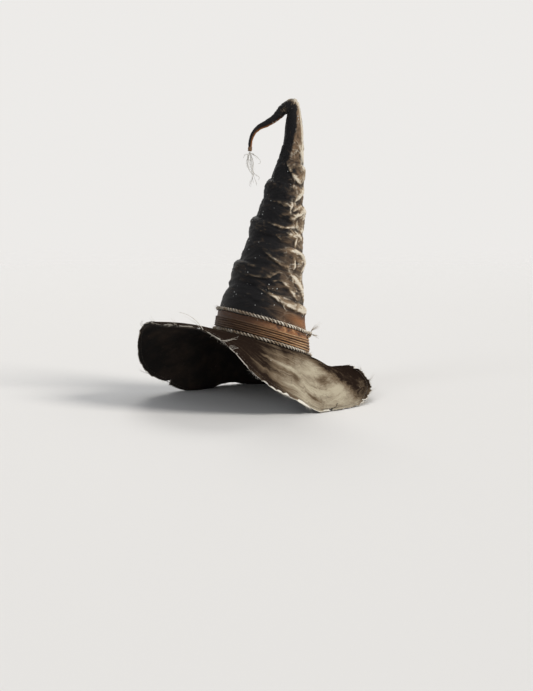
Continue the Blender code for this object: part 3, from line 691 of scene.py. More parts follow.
def forkedFolds():
    # each fork leaves its parent at a slant, from a random place on it, and bends on by half its turn
    fork = folds["forks"]
    pick = np.random.default_rng(fork["seed"])
    made = []
    for rise, wide, pale, line in folds["ridges"]:
        knots, girth = crestKnots(line)
        run = runAlong(knots)
        count = int(run[-1] / fork["spacing"]) if pale >= fork["leastPale"] else 0
        for place in pick.uniform(0.05, 0.95, count) * run[-1]:
            start, ahead = resampled(np.array([place, place + 0.003]), run, knots)
            way = np.arctan2(ahead[1] - start[1], ahead[0] - start[0]) + np.pi * pick.integers(0, 2)
            bend = np.radians(pick.uniform(*fork["turn"])) * pick.choice((-1.0, 1.0))
            step = pick.uniform(*fork["length"]) / 3
            turn = way + bend * (0.6 + 0.3 * np.arange(3))
            steps = step * np.stack([np.cos(turn), np.sin(turn)], -1)
            points = start + np.vstack([np.zeros(2), np.cumsum(steps, axis=0)])
            if points[-1, 0] < points[0, 0]:
                points = points[::-1]
            crest = np.stack([np.degrees(points[:, 0] / girth), points[:, 1] * 1000.0], -1)
            paleness = min(1.0, pale * pick.uniform(*fork["pale"]))
            made.append((rise * fork["rise"], wide * fork["width"], paleness, crest))
    return made


def foldedShare(height):
    # none at the band, in full from twice its height, none again at the neck
    top = np.clip((neckHeight - height) / folds["fade"], 0.0, 1.0)
    return np.clip((height - hat["bandTop"]) / hat["bandTop"], 0.0, 1.0) * top


def gathers(height, azimuth):
    # between two creases the leather swells as a sine up to swellTop, then drops to the next crease
    rows, peak = folds["creases"], folds["swellTop"]
    swell = np.full(height.shape, -0.5 * rows[0][3])
    for low, high in zip(rows[:-1], rows[1:]):
        foot = low[0] + low[1] * np.cos(np.radians(azimuth - low[2]))
        head = high[0] + high[1] * np.cos(np.radians(azimuth - high[2]))
        t = (height - foot) / (head - foot)
        lobe = folds["even"] + (1.0 - folds["even"]) * np.cos(np.radians(azimuth - low[4]))
        rise = np.sin(0.5 * np.pi * np.clip(t / peak, 0, 1))
        drop = np.cos(0.5 * np.pi * np.clip((t - peak) / (1.0 - peak), 0, 1)) ** folds["dropPower"]
        deep = low[3] + (high[3] - low[3]) * np.clip(t, 0, 1)
        swell = np.where(t >= 0.0, low[3] * rise * drop * lobe - 0.5 * deep, swell)
    return swell * foldedShare(height)


foldLines = list(folds["ridges"]) + forkedFolds()


def ridgeLines(height, azimuth):
    # a crest falls away slowly above its line and steeply below, where a groove follows; both taper to
    # the line's ends, and the paleness, wear and painted highlight, comes and goes along it
    groove = folds["groove"]
    crests, grooves, pale = np.zeros((3, *height.shape))
    for rise, wide, rub, line in foldLines:
        knots, girth = crestKnots(line)
        x = np.radians(turned(azimuth - line[0][0])) * girth
        y = height - knots[0, 1]
        knots = knots - knots[0]
        steps = np.diff(knots, axis=0)
        run = runAlong(knots)
        near, level, place = np.full(height.shape, 9.0), np.zeros(height.shape), np.zeros(height.shape)
        for knot, step, start, stop in zip(knots, steps, run, run[1:]):
            t = np.clip(((x - knot[0]) * step[0] + (y - knot[1]) * step[1]) / (stop - start) ** 2, 0, 1)
            dx, dy = x - knot[0] - t * step[0], y - knot[1] - t * step[1]
            far = np.hypot(dx, dy)
            closer = far < near
            near = np.where(closer, far, near)
            level = np.where(closer, far * np.sign(step[0] * dy - step[1] * dx + 1e-12), level)
            place = np.where(closer, start + t * (stop - start), place)
        begin, cover, power = folds["taper"]
        taper = np.sin(np.pi * np.clip(begin + cover * place / run[-1], 0, 1)) ** power
        uneven = 1.0
        for much, turns, byRise, byWidth in folds["patchy"]:
            uneven = uneven + much * np.sin(place * turns + (byRise * rise + byWidth * wide))
        above, below = np.maximum(level, 0.0) * 1000.0 / wide, np.maximum(-level, 0.0) * 1000.0 / wide
        crest = np.exp(-(above / folds["crest"][0]) ** 1.4) * hump(below, folds["crest"][1])
        worn = np.exp(-(above / folds["rub"][0]) ** 0.9) * hump(below, folds["rub"][1])
        under = hump(below - groove["at"], groove["reach"]) * (level < 0)
        crests = np.maximum(crests, rise / 1000.0 * crest * taper)
        grooves = np.maximum(grooves, groove["depth"] * rise / 1000.0 * under * taper)
        pale = np.maximum(pale, rub * uneven * worn * taper)
    return crests - grooves, pale


def crownRelief(height, azimuth):
    # gathers + crests + three sizes of wrinkle - the groove of the back seam
    lift, pale = ridgeLines(height, azimuth)
    share = foldedShare(height)
    bend = height + waves([folds["wander"]], azimuth, height)
    wrinkle = waves([folds["fine"]], azimuth, bend) - folds["sunk"]
    for rise, *row in (folds["broad"], folds["middle"]):
        wrinkle = wrinkle + rise * (1.0 - np.abs(ripples(azimuth, bend, *row)))
    girth = smoothRows(hat["stations"], height)[..., 2]
    seam = np.radians(turned(azimuth - hat["seamAzimuth"])) * girth
    groove = folds["seamDepth"] * hump(seam, folds["seamReach"]) * ease(0.0, 0.01, height)
    return gathers(height, azimuth) + (lift + wrinkle) * share - groove, pale * np.maximum(share, 0.35)


# Folded tip: the leather turns over a crease and runs out into a thin tail
tip = {
    # outer edge x, z and inner edge x, z round the fold, half depth
    "elbow": (
        (0.0818, 0.5572, 0.0588, 0.5256, 0.0137),
        (0.0752, 0.5638, 0.0595, 0.5286, 0.0131),
        (0.0676, 0.5640, 0.0600, 0.5310, 0.0126),
        (0.0596, 0.5606, 0.0604, 0.5330, 0.0119),
        (0.0530, 0.5556, 0.0606, 0.5346, 0.0110),
    ),
    # from the fold: out to -X, down, radius
    "tail": (
        (0.0090, 0.0030, 0.0121),
        (0.0177, 0.0080, 0.0100),
        (0.0310, 0.0214, 0.0076),
        (0.0480, 0.0329, 0.0063),
        (0.0633, 0.0406, 0.0051),
        (0.0728, 0.0501, 0.0042),
        (0.0785, 0.0635, 0.0036),
        (0.0804, 0.0846, 0.0030),
    ),
    "neckHalfDepth": 0.0142,
    "rowsCrown": 288, "rowsTip": 104, "columns": 232,
    "wall": 0.0019, "wallSlack": 0.0062, "wallTop": 0.306, "rowsInner": 24,  # inner face of the leather
    "crimp": ((0.0007, 21, 16, 3, 330.0), (0.0003, 22, 16, 6, 900.0)),  # rise, then the waves
    "pleats": (0.0012, 1500.0),  # on the inside of the bend: rise, radians a metre
    "lap": (0.0006, 18.0),  # raw edge along the lower front of the tail: rise, reach in degrees
    "lapAzimuth": 208.0,
    "crease": (0.0597, 0.5310), "across": (-0.87, 0.49),  # x and z of the crease, way across it
}
# Painted light and shade, and worn and rusty places of the crown: azimuths in degrees, heights in metres
wornAndLit = {
    "front": (-108.0, -52.0, 50.0, 178.0),  # brown side, painted as the side the light falls on
    "side": (-66.0, -18.0, 30.0, 140.0),  # tan side of the folds, painted as lit
    # the elbow's side painted as lit
    "tipSide": (-70.0, -30.0, 45.0, 165.0),
    "neck": (0.325, 0.350),  # the neck's own colours start over these heights
    # the neck's side painted as lit: from this line (height, azimuth) round to the azimuths of neckEnd
    "neckEdge": ((0.335, -104.0), (0.345, -99.0), (0.382, -88.0), (0.404, -74.0), (0.430, -58.0)),
    "neckEnd": (45.0, 165.0),
    "neckHighlight": (-24.0, 15.0), "tipHighlight": (-20.0, 22.0),  # painted highlights along the right edge of the neck and of the elbow: azimuth, reach
    "rust": (-24.0, 30.0, 0.058, 0.011),  # azimuth, reach, height, reach
    "proud": 0.0016, "tipProud": 0.0012,  # relief that counts as fully worn or shaded
    # each mark on the side painted dark, and how much more on the side painted as lit
    "wearAndHighlight": (0.17, 0.27), "crestWearAndLight": (0.27, 0.73), "toneAndLight": (0.05, 0.60), "neckToneAndLight": (0.02, 0.85),
    "sideHighlight": 0.44, "neckLight": 0.14, "neckHighlightStrength": 0.85, "rustShare": 0.75,
    "tipToneAndLight": (0.03, 0.90), "tailTone": 0.05, "tipWearAndLight": 0.14, "tipHighlightStrength": 0.95, "crimpWear": 0.4,
}


def tipEdges():
    # outer and inner edge of the leather from the neck to the end of the tail, in the plane y = fold
    ends = crownAt(np.array([neckHeight]), np.array([[0.0], [180.0]]))
    first = (ends[0, 0, 0], ends[0, 0, 2], ends[1, 0, 0], ends[1, 0, 2], tip["neckHalfDepth"])
    tail = np.array(tip["tail"])
    centre = np.array([hat["fold"][0], hat["fold"][2]]) - tail[:, :2]
    way = unit(np.gradient(centre, axis=0))
    way[-1] = (0.0, -1.0)
    side = np.stack([way[:, 1], -way[:, 0]], -1) * tail[:, 2:]
    rows = np.column_stack([centre + side, centre - side, tail[:, 2]])
    rows = np.vstack([first, tip["elbow"], rows[1:]])
    middle = 0.5 * (rows[:, :2] + rows[:, 2:4])
    run = runAlong(middle) + 0.004 * np.arange(len(rows))
    return np.column_stack([run, rows])


columns = tip["columns"]
azimuth = spun(columns)
heights = np.linspace(0.0, neckHeight, tip["rowsCrown"])
gridHeight, gridAzimuth = np.meshgrid(heights, azimuth, indexing="ij")
# rubbed: the crests' paleness, partly wear and partly painted highlight
relief, rubbed = crownRelief(gridHeight, gridAzimuth)
shell = crownAt(gridHeight, gridAzimuth, relief)

# the tail: ovals between its outer and inner edge, grown by the crimp of the leather
edges = tipEdges()
along = np.linspace(0.0, edges[-1, 0], tip["rowsTip"] + 1)[1:, None]
row = smoothRows(edges, along[:, 0])
share = along / along[-1]
a = np.radians(azimuth)[None, :]
fromLap = turned(azimuth - tip["lapAzimuth"])[None, :]
tailShare = ease(0.25, 0.5, share)
tailRim = ease(0.30, 0.46, share)
crimp = waves(tip["crimp"], azimuth[None, :], along) * (1.0 - 0.75 * tailShare) * ease(0.0, 0.05, share)
pleats = tip["pleats"][0] * hump(turned(azimuth - 180.0), 50.0) * np.sin(along * tip["pleats"][1])
crimp = crimp + pleats * (1.0 - ease(0.16, 0.3, share)) * ease(0.0, 0.04, share)
crimp = crimp + tip["lap"][0] * hump(fromLap, tip["lap"][1]) * tailRim
half = 0.5 * (row[:, :2] - row[:, 2:4])
middle = 0.5 * (row[:, :2] + row[:, 2:4])
grow = 1.0 + crimp / np.maximum(np.linalg.norm(half, axis=1)[:, None], 0.003)
tail = np.stack([
    middle[:, :1] + half[:, :1] * np.cos(a) * grow,
    hat["fold"][1] + row[:, 4:5] * np.sin(a) * grow,
    middle[:, 1:] + half[:, 1:] * np.cos(a) * grow], -1)

# the skin: a lid inside the crown, down the inner face to the foot, then up the outer face to the end
innerHeight = np.linspace(tip["wallTop"], 0.0, tip["rowsInner"])[:, None]
innerWall = crownAt(innerHeight, azimuth, -tip["wall"] - tip["wallSlack"] * foldedShare(innerHeight))
innerTop = innerWall[:1].mean(axis=1, keepdims=True)
lid = [innerTop + k * (innerWall[:1] - innerTop) for k in (0.02, 0.35, 0.7)]
hem = np.concatenate(lid + [innerWall])
endMiddle = tail[-1:].mean(axis=1, keepdims=True)
skin = np.concatenate([hem, shell, tail, endMiddle + 0.02 * (tail[-1:] - endMiddle)])

# wear on what stands proud, painted shade in what lies deep, painted light and shade by the side, rust over
# the band and on the lap
proud = (relief - blurred(blurred(relief, 5), 5)) / wornAndLit["proud"]
folded = foldedShare(gridHeight)
# painted light: the side the key light falls on is brown and paler, the other side stays near-black
paintedLightSide = between(wornAndLit["front"], gridAzimuth)
upper = ease(*wornAndLit["neck"], gridHeight)
neckEdge = np.interp(gridHeight, *np.array(wornAndLit["neckEdge"]).T)
paintedLitNeck = ease(-14.0, 10.0, turned(gridAzimuth - neckEdge))
paintedLitNeck = paintedLitNeck * (1.0 - ease(*wornAndLit["neckEnd"], turned(gridAzimuth)))
neckHighlight = hump(turned(gridAzimuth - wornAndLit["neckHighlight"][0]), wornAndLit["neckHighlight"][1])
wearAndHighlight = np.clip(proud, 0.0, 1.0) * plus(wornAndLit["wearAndHighlight"], paintedLightSide) * folded
wearAndHighlight = wearAndHighlight + rubbed * plus(wornAndLit["crestWearAndLight"], paintedLightSide)
wearAndHighlight = wearAndHighlight + upper * (wornAndLit["neckLight"] * paintedLitNeck + wornAndLit["neckHighlightStrength"] * neckHighlight)
wearAndHighlight = wearAndHighlight + wornAndLit["sideHighlight"] * between(wornAndLit["side"], gridAzimuth) * folded
toneAndLight = plus(wornAndLit["toneAndLight"], paintedLightSide) * (1.0 - upper) + upper * plus(wornAndLit["neckToneAndLight"], paintedLitNeck)
rustAzimuth, rustReach, rustHeight, rustRise = wornAndLit["rust"]
rust = hump(turned(gridAzimuth - rustAzimuth), rustReach) * hump(gridHeight - rustHeight, rustRise)
# painted light on the elbow's lit side, and a painted highlight along its right edge
paintedLitTip = between(wornAndLit["tipSide"], azimuth)[None, :]
tipHighlight = hump(turned(azimuth - wornAndLit["tipHighlight"][0]), wornAndLit["tipHighlight"][1]) * (1.0 - ease(0.12, 0.26, share))
tipProud = crimp / wornAndLit["tipProud"]
tipToneAndLight = plus(wornAndLit["tipToneAndLight"], paintedLitTip * (1.0 - ease(0.10, 0.24, share))) + wornAndLit["tailTone"] * tailShare
tipWearAndLight = wornAndLit["tipWearAndLight"] * paintedLitTip * (1.0 - ease(0.08, 0.2, share)) + wornAndLit["tipHighlightStrength"] * tipHighlight
tipWearAndLight = tipWearAndLight + wornAndLit["crimpWear"] * np.clip(tipProud, 0, 1)
# the lap's orange is partly the raw edge's colour and partly painted rim light along the tail's lower edge
tipEdgeAndRimLight = hump(fromLap, 13.0 + 24.0 * ease(0.4, 0.9, share)) * tailRim


def framed(values, tipValues):
    # mark values on hem, crown, tail and end
    return np.concatenate([np.zeros((len(hem), columns)), values, tipValues, tipValues[-1:]])


marks = {
    "wearAndHighlight": np.clip(framed(wearAndHighlight, tipWearAndLight), 0, 1),
    "toneAndLight": framed(toneAndLight, tipToneAndLight),
    "shade": framed(np.clip(-proud, 0, 1), np.clip(-tipProud, 0, 1)),
    "rust": framed(wornAndLit["rustShare"] * rust, tipEdgeAndRimLight),
}
first = np.arange(columns)[::-1]
ends = np.stack([first, (len(skin) - 1) * columns + first[::-1]])
corners = gridCorners(np.linspace(0, 0.6, columns + 1), runAlong(skin))
corners = np.concatenate([corners, np.zeros((2 * columns, 2))])
crownSkin = putMesh(
    "crownSkin", skin, [gridFaces(len(skin), columns), ends], corners,
    crownHide, None, ("crown_leather", "tip_tail"), marks)
crease = np.array([tip["crease"][0], hat["fold"][1], tip["crease"][1]])
across = np.array([tip["across"][0], 0.0, tip["across"][1]])
tuple(crease - 0.013 * across)
tuple(crease + 0.015 * across)
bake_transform(crownSkin)
print("crown:", len(crownSkin.data.polygons), "faces")


def crownPoint(height, azimuthAt):
    # a point on the finished crown leather
    height, azimuthAt = np.broadcast_arrays(np.asarray(height, float), np.asarray(azimuthAt, float))
    return crownAt(height, azimuthAt, crownRelief(height, azimuthAt)[0])


# Brim: the middle of its canvas runs from the head opening to the edge
brim = {
    # azimuth, width outside the crown, height of the edge, rise of the lip
    "rows": (
        (-172.0, 0.1430, 0.1180, -52.0), (-160.0, 0.1390, 0.1490, -10.0), (-144.6, 0.1290, 0.1555, 8.0),
        (-130.7, 0.1230, 0.1575, 12.0), (-119.3, 0.1190, 0.1525, 8.0), (-105.4, 0.1160, 0.1240, -8.0),
        (-95.2, 0.1140, 0.0830, -32.0), (-86.9, 0.1085, 0.0545, -34.0), (-75.9, 0.1025, 0.0335, -26.0),
        (-64.7, 0.0995, 0.0120, -14.0), (-52.5, 0.1000, -0.0040, 0.0), (-37.5, 0.1045, -0.0040, 0.0),
        (-22.7, 0.1135, 0.0050, 8.0), (-8.2, 0.1170, 0.0170, 16.0), (2.7, 0.1190, 0.0260, 20.0),
        (16.5, 0.1190, 0.0380, 26.0), (32.7, 0.1175, 0.0490, 30.0), (45.6, 0.1120, 0.0410, 16.0),
        (62.0, 0.1020, 0.0150, -6.0), (76.0, 0.0960, -0.0040, 0.0), (95.0, 0.0920, -0.0040, 0.0),
        (114.0, 0.0850, 0.0060, -8.0), (132.0, 0.0800, -0.0040, 0.0), (146.0, 0.0880, -0.0040, 0.0),
        (160.0, 0.1150, 0.0220, -34.0), (172.0, 0.1400, 0.0530, -58.0),
    ),
    "ropeDia": 0.0060, "margin": 0.004, "leastEdge": 0.0018,
    "headHalf": (0.0867, 0.0997),  # inside of the layers round the head opening
    "topThick": 0.0016, "canvasThick": 0.0012, "underThick": 0.0012,
    "columns": 1080, "flatRows": 4,  # rows between the head opening and the margin
    "thin": (0.62, 0.960), "pinch": (0.80, 0.968),  # the layers thin and close up: by how much, from where
    "swell": ((0.0016, 31, 14, 9, 30.0), (0.0010, 32, 16, 30, 60.0)),  # rise, then the waves
    # the raw edge wanders inwards: depth, then the waves; nicks as azimuth, half width, depth
    "ragged": (0.0024, 33, 30, 90, 1.0), "raggedFine": (0.0008, 34, 24, 300, 1.0),
    "nicks": ((-50.2, 0.6, 0.005), (-63.0, 1.2, 0.004), (-88.0, 1.5, 0.005), (-121.0, 1.3, 0.006),
              (-20.0, 1.1, 0.004), (38.0, 1.6, 0.006), (97.0, 1.3, 0.005), (158.0, 1.4, 0.006)),
    # the bleached part of the upper face, painted as lit, with painted shade beyond its ends: azimuths it
    # starts over, its end on the right (share, azimuth) and where it starts outside the crown (azimuth,
    # share)
    "leftEnd": (-104.0, -62.0),
    "rightEnd": ((0.20, -41.0), (0.34, -23.0), (0.47, -16.0), (0.67, -13.5), (0.86, -16.0), (1.0, -19.0)),
    "innerEnd": ((-110.0, 0.66), (-101.0, 0.56), (-93.0, 0.44), (-80.0, 0.30), (-63.0, 0.19), (-39.0, 0.12),
                 (-10.0, 0.18)),
    "unworn": (-178.0, -150.0, 40.0, 80.0),  # no other wear between these azimuths, which keeps the brim's left dark as painted shade
    "bleachedAndLit": 0.80, "worn": 0.26,  # paleness of that part, bleached and painted as lit, and of the worn outer half elsewhere
    # stains and rubbed places, among them the painted highlight and painted shadow of a fold: azimuth,
    # share, reach in degrees, reach in share, strength
    "stainsAndFoldLight": ((-69.0, 0.58, 3.5, 0.05, -0.45), (-58.0, 0.72, 6.0, 0.05, -0.40),
               (-82.0, 0.92, 9.0, 0.10, -0.45), (-56.0, 0.63, 8.0, 0.03, 0.40),
               (-88.0, 0.62, 6.0, 0.10, -0.30), (-45.0, 0.45, 8.0, 0.06, -0.20),
               (-30.0, 0.60, 9.0, 0.08, 0.15), (-74.0, 0.47, 6.0, 0.06, 0.22)),
    "tear": ((-50.3, 1.0), (-38.6, 0.79)),  # a cut in the leather, azimuth and share of its ends
    "rimPatches": (0.85, 35, 24, 70, 1.0), "rimWhite": 0.42, "splitWhite": 0.95,
    # the upper layer has split off inside the rim: from, to, share of the width
    "splits": ((-88.0, -72.0, 0.050), (-74.0, -56.0, 0.085), (-58.0, -46.0, 0.050), (-32.0, -8.0, 0.028),
               (24.0, 44.0, 0.040), (96.0, 122.0, 0.050), (150.0, 164.0, 0.030)),
    "scallops": ((0.30, 36, 12, 46, 1.0), (0.16, 37, 16, 150, 1.0)),
    "splitDrop": 0.0007, "splitEnds": 5.0,
    "wireInset": 0.0045, "wireDia": 0.0012, "sleeveAt": 75.0, "sleeveLength": 0.022, "seam": 0.008,
    "underInset": 0.0008,
}
spin = spun(brim["columns"])
ray = np.stack([np.cos(np.radians(spin)), np.sin(np.radians(spin))], -1)
edgeRow = smoothRows(brim["rows"], turned(spin), around=True)
footRight, footBack, footUp = ringAxes(*hat["stations"][0][4:])
halfCanvas = brim["canvasThick"] / 2
brimDrop = 2 * gap + brim["topThick"] + halfCanvas


def polar(half):
    # radius of an oval along the rays
    return half[0] * half[1] / np.hypot(half[1] * ray[:, 0], half[0] * ray[:, 1])


def underFoot(radius):
    # points of the plane of the canvas under the crown's foot, along the rays
    way = ray[:, :1] * footRight + ray[:, 1:] * footBack
    return footPoint - brimDrop * footUp + radius[..., None] * way


def brimAt(share):
    # cubic from the flat margin (share 0) to the edge (share 1), straight to the head opening below 0
    hole = underFoot(polar(np.array(brim["headHalf"]) + gap))
    start = underFoot(polar(hat["footHalf"]) + brim["ropeDia"] + brim["margin"])
    leave = unit(start - hole)
    reach = polar(hat["footHalf"]) + edgeRow[:, 0]
    edge = np.column_stack([ray * reach[:, None] + footPoint[:2], edgeRow[:, 1]])
    lip = np.radians(edgeRow[:, 2])
    arrive = np.column_stack([ray * np.cos(lip)[:, None], np.sin(lip)])
    span = np.linalg.norm(edge - start, axis=1)[:, None] * 0.9
    t = np.clip(share, 0.0, 1.2)[..., None]
    sheet = (2 * t**3 - 3 * t**2 + 1) * start + (3 * t**2 - 2 * t**3) * edge
    sheet = sheet + (t**3 - 2 * t**2 + t) * span * leave + (t**3 - t**2) * span * arrive
    sheet = sheet + np.clip(share, -1.0, 0.0)[..., None] * (start - hole)
    swell = waves(brim["swell"], spin, share * 0.1) * np.clip(share, 0, 1) ** 2
    sheet[..., 2] = np.maximum(sheet[..., 2] + swell, brim["leastEdge"])
    return sheet


runOut = edgeRow[:, 0] - brim["ropeDia"] - brim["margin"]
ragged = brim["ragged"][0] * np.clip(0.5 + 0.5 * ripples(spin, 0.0, *brim["ragged"][1:]), 0, 1)
ragged = ragged + np.abs(waves([brim["raggedFine"]], spin, 0.0))
for at, wide, deep in brim["nicks"]:
    ragged = ragged + deep * np.clip(1.0 - np.abs(turned(spin - at)) / wide, 0.0, 1.0) ** 0.8
edgeEnd = 1.0 - ragged / runOut


def brimLift(sheet):
    # unit normals from the two ways along the sheet
    around = np.roll(sheet, -1, axis=1) - np.roll(sheet, 1, axis=1)
    return unit(np.cross(around, -np.gradient(sheet, axis=0)))


def upperLift(sheet):
    # the normals on the upper side: those that point up near the head opening
    lift = brimLift(sheet)
    return lift * np.sign(lift[2:3, :, 2:])


def splitMask(reach):
    # 1 outside a scalloped line that runs inside the rim along each split, 0 elsewhere
    az = turned(spin)
    line = np.ones(len(spin))
    scallop = np.clip(0.62 + waves(brim["scallops"], spin, 0.0), 0.15, 1.1)
    for start, stop, deep in brim["splits"]:
        window = between((start, start + brim["splitEnds"], stop - brim["splitEnds"], stop), az)
        line = np.minimum(line, 1.0 - deep * window * scallop)
    return ease(-0.003, 0.009, reach - line) * (line < 0.996)


def brimMarks(reach, torn):
    # paleness: inside the ends of the bleached part painted as lit, with painted shade beyond them, a little
    # on the worn outer half elsewhere, plus stains and a fold's painted light
    az = turned(spin)[None, :]
    right = np.interp(reach, *np.array(brim["rightEnd"]).T)
    inner = np.interp(az, *np.array(brim["innerEnd"]).T)
    front = ease(*brim["leftEnd"], az) * (1.0 - ease(-16.0, 8.0, az - right))
    front = front * ease(-0.26, 0.20, reach - inner)
    worn = brim["worn"] * ease(0.35, 0.8, reach) * (1.0 - between(brim["unworn"], az))
    pale = np.maximum(brim["bleachedAndLit"] * front, worn)
    for at, share, wide, deep, much in brim["stainsAndFoldLight"]:
        pale = pale + much * hump(az - at, wide) * hump(reach - share, deep)
    (rimAzimuth, rimShare), (endAzimuth, endShare) = brim["tear"]
    cutRun = (reach - endShare) / (rimShare - endShare)
    cutOff = az - endAzimuth - (rimAzimuth - endAzimuth) * cutRun
    rim = np.clip(brim["rimWhite"] + waves([brim["rimPatches"]], spin, 0.0), 0, 1)
    rim = rim * ease(0.988, 0.999, reach)
    if torn:
        rim = np.maximum(rim, brim["splitWhite"] * splitMask(reach))
    return {"pale": pale, "rim": rim, "cutRun": cutRun, "cutOff": cutOff}


def tapered(row, t):
    # 1, less the row's depth over the last of the way to the edge
    return 1.0 - row[0] * ease(row[1], 1.0, t)[:, None, None]


def brimSheet(name, low, high, rowsTop, rowsUnder, inset, finish, node,
              marked=(), floor=None, torn=False):
    # upper face out to the edge, back along the lower face, closed at the head opening
    faces, reach = [], []
    for offset, count in ((high, rowsTop), (low, rowsUnder)):
        s = np.linspace(0.0, 1.0, count - brim["flatRows"])
        t = np.r_[np.linspace(-1.0, 0.0, brim["flatRows"] + 1)[:-1], 1.6 * s - 0.6 * s * s]
        sheet = brimAt(np.where(t[:, None] > 0, t[:, None] * (edgeEnd - inset / runOut), t[:, None]))
        lift = upperLift(sheet)
        mid = 0.5 * (low + high)
        thick = mid * tapered(brim["pinch"], t) + (offset - mid) * tapered(brim["thin"], t)
        faces.append(sheet + thick * lift)
        reach.append(np.repeat(t[:, None], len(spin), axis=1))
        if torn and offset == high:
            drop = brim["splitDrop"] * splitMask(reach[0]) * (1.0 - 0.8 * ease(0.97, 1.0, reach[0]))
            faces[0] = faces[0] - drop[..., None] * lift
    top, under = faces
    if floor is not None:
        under[..., 2] = np.maximum(under[..., 2], floor)
        top[..., 2] = np.maximum(top[..., 2], floor + 0.0006)
    points = np.concatenate([top, under[::-1]])
    quads = gridFaces(len(points), len(spin), shut=True)[:, ::-1]
    corners = gridCorners(np.linspace(0, 1.2, len(spin) + 1), runAlong(points, 0.003))
    corners = corners.reshape(-1, 4, 2)[:, ::-1]
    marks = brimMarks(np.concatenate([reach[0], reach[1][::-1]]), torn)
    marks = {key: marks[key] for key in marked}
    return putMesh(name, points, [quads], corners, finish, "hat", (node,), marks), top


brimTop, topFace = brimSheet(
    "brimTop", halfCanvas + gap, halfCanvas + gap + brim["topThick"], 62, 16, 0.0,
    brimHide, "brim_top", ("pale", "rim", "cutRun", "cutOff"), torn=True)
brimCanvas, _ = brimSheet(
    "brimCanvas", -halfCanvas, halfCanvas, 18, 18, brim["seam"], stiffCanvas, "brim_canvas")
brimUnder, _ = brimSheet(
    "brimUnder", -halfCanvas - gap - brim["underThick"], -halfCanvas - gap, 12, 50, brim["underInset"],
    underHide, "brim_under", ("rim",), 0.0)

# wire in the edge between the layers, and the sleeve over its ends at the back
wireRing = brimAt((1.0 - brim["wireInset"] / runOut)[None])[0]
wireRing = np.roll(wireRing, -int(np.argmin(np.abs(turned(spin - brim["sleeveAt"])))), axis=0)
sleeveEnd = int(np.searchsorted(runAlong(wireRing), brim["sleeveLength"]))
for name, part, radius, node in (
        ("brimWire", wireRing[sleeveEnd:], brim["wireDia"] / 2, "brim_wire"),
        ("brimWireSleeve", wireRing[:sleeveEnd - 1], 1.2 * brim["wireDia"] / 2, "brim_wire_sleeve")):
    outline = roundOutline(np.full((1, len(part)), radius), 8)
    putTubes(name, part[None], outline, np.array([0.0, 0.0, 1.0]), wireSteel, "hat", (node,))
print("brim:", sum(len(piece.data.polygons) for piece in (brimTop, brimCanvas, brimUnder)), "faces")

# Fibres of the raw edge, and a few long threads that have come loose
fray = {
    "count": 3200, "length": (0.0015, 0.0085), "dia": 0.00034, "seed": 41,
    "slant": (2.2, 0.45), "curl": (0.3, 0.24),  # spread along the rim and up
    "patches": (0.5, 42, 20, 40, 1.0),
    "taper": (1.0, 1.0, 0.9, 0.7, 0.3), "lowest": 0.0004,
    # azimuth of the root, way it goes (mm), way its end bends (mm), fibres, their thickness (mm)
    "strays": (
        (-118.6, (-22.0, -4.0, 40.0), (-21.0, 0.0, -7.0), 1, 1.25),
        (-119.5, (-18.0, -6.0, 22.0), (-8.0, -3.0, 4.0), 2, 0.45),
        (-108.5, (17.0, 3.0, 2.0), (4.0, 0.0, 2.0), 6, 0.55),
        (-111.0, (13.0, -4.0, -9.0), (2.0, 0.0, -6.0), 4, 0.60),
        (-104.5, (12.0, 2.0, 3.0), (3.0, 0.0, -3.0), 4, 0.55),
        (-24.0, (13.0, -6.0, 2.0), (5.0, 0.0, 3.0), 6, 0.50),
        (-30.0, (9.0, -9.0, 2.0), (6.0, 2.0, 0.0), 4, 0.45),
        (-163.0, (-8.0, -5.0, 8.0), (9.0, 0.0, 3.0), 4, 0.45),
        (-152.0, (5.0, -6.0, 9.0), (-6.0, 0.0, 4.0), 3, 0.40),
        (-134.0, (-4.0, -4.0, 10.0), (-3.0, 0.0, 4.0), 3, 0.40),
        (22.0, (5.0, 2.0, 10.0), (-7.0, 4.0, 3.0), 6, 0.40),
        (8.0, (7.0, 0.0, 8.0), (3.0, 0.0, 4.0), 5, 0.40),
        (-8.0, (10.0, -1.0, 8.0), (2.0, 3.0, 6.0), 4, 0.40),
        (70.0, (3.0, 14.0, 4.0), (6.0, 4.0, 0.0), 4, 0.40),
        (118.0, (-8.0, 14.0, 3.0), (5.0, 4.0, 4.0), 4, 0.40),
        (168.0, (-15.0, 2.0, 3.0), (-3.0, 8.0, 4.0), 4, 0.40)),
    "strayRows": 12, "thickStray": 0.0009,  # a stray thicker than this keeps its length
    "stretch": (0.55, 1.1), "spread": (0.5, 0.0018, 0.0016),  # of the root in degrees, of the way and bend
    "wiggle": (0.0006, 8.0),
}
pick = np.random.default_rng(fray["seed"])
count = fray["count"]
torn = 0.6 + 1.8 * splitMask(np.full((1, brim["columns"]), 0.985))[0]
at = pick.choice(brim["columns"], count, p=torn / np.sum(torn))
edge = topFace[-1]
outWay = unit(topFace[-1] - topFace[-3])
sideWay = unit(np.roll(edge, -1, axis=0) - np.roll(edge, 1, axis=0))
upWay = np.cross(sideWay, outWay)
length = fray["length"][0] + (fray["length"][1] - fray["length"][0]) * pick.random(count) ** 2.2
patchy = 0.6 + fray["patches"][0] * np.clip(ripples(spin, 0.0, *fray["patches"][1:]), -0.8, 1.6)
length = (length * patchy[at])[:, None]
heading = outWay[at] + pick.normal(0, fray["slant"][0], (count, 1)) * sideWay[at]
heading = unit(heading + pick.normal(0, fray["slant"][1], (count, 1)) * upWay[at])
curl = pick.normal(0, fray["curl"][0], (count, 1)) * sideWay[at]
curl = curl + pick.normal(0, fray["curl"][1], (count, 1)) * upWay[at]
root = edge[at] - 0.0006 * outWay[at]
strands = curvedThreads(root, length * heading, length * curl, 2, len(fray["taper"]))
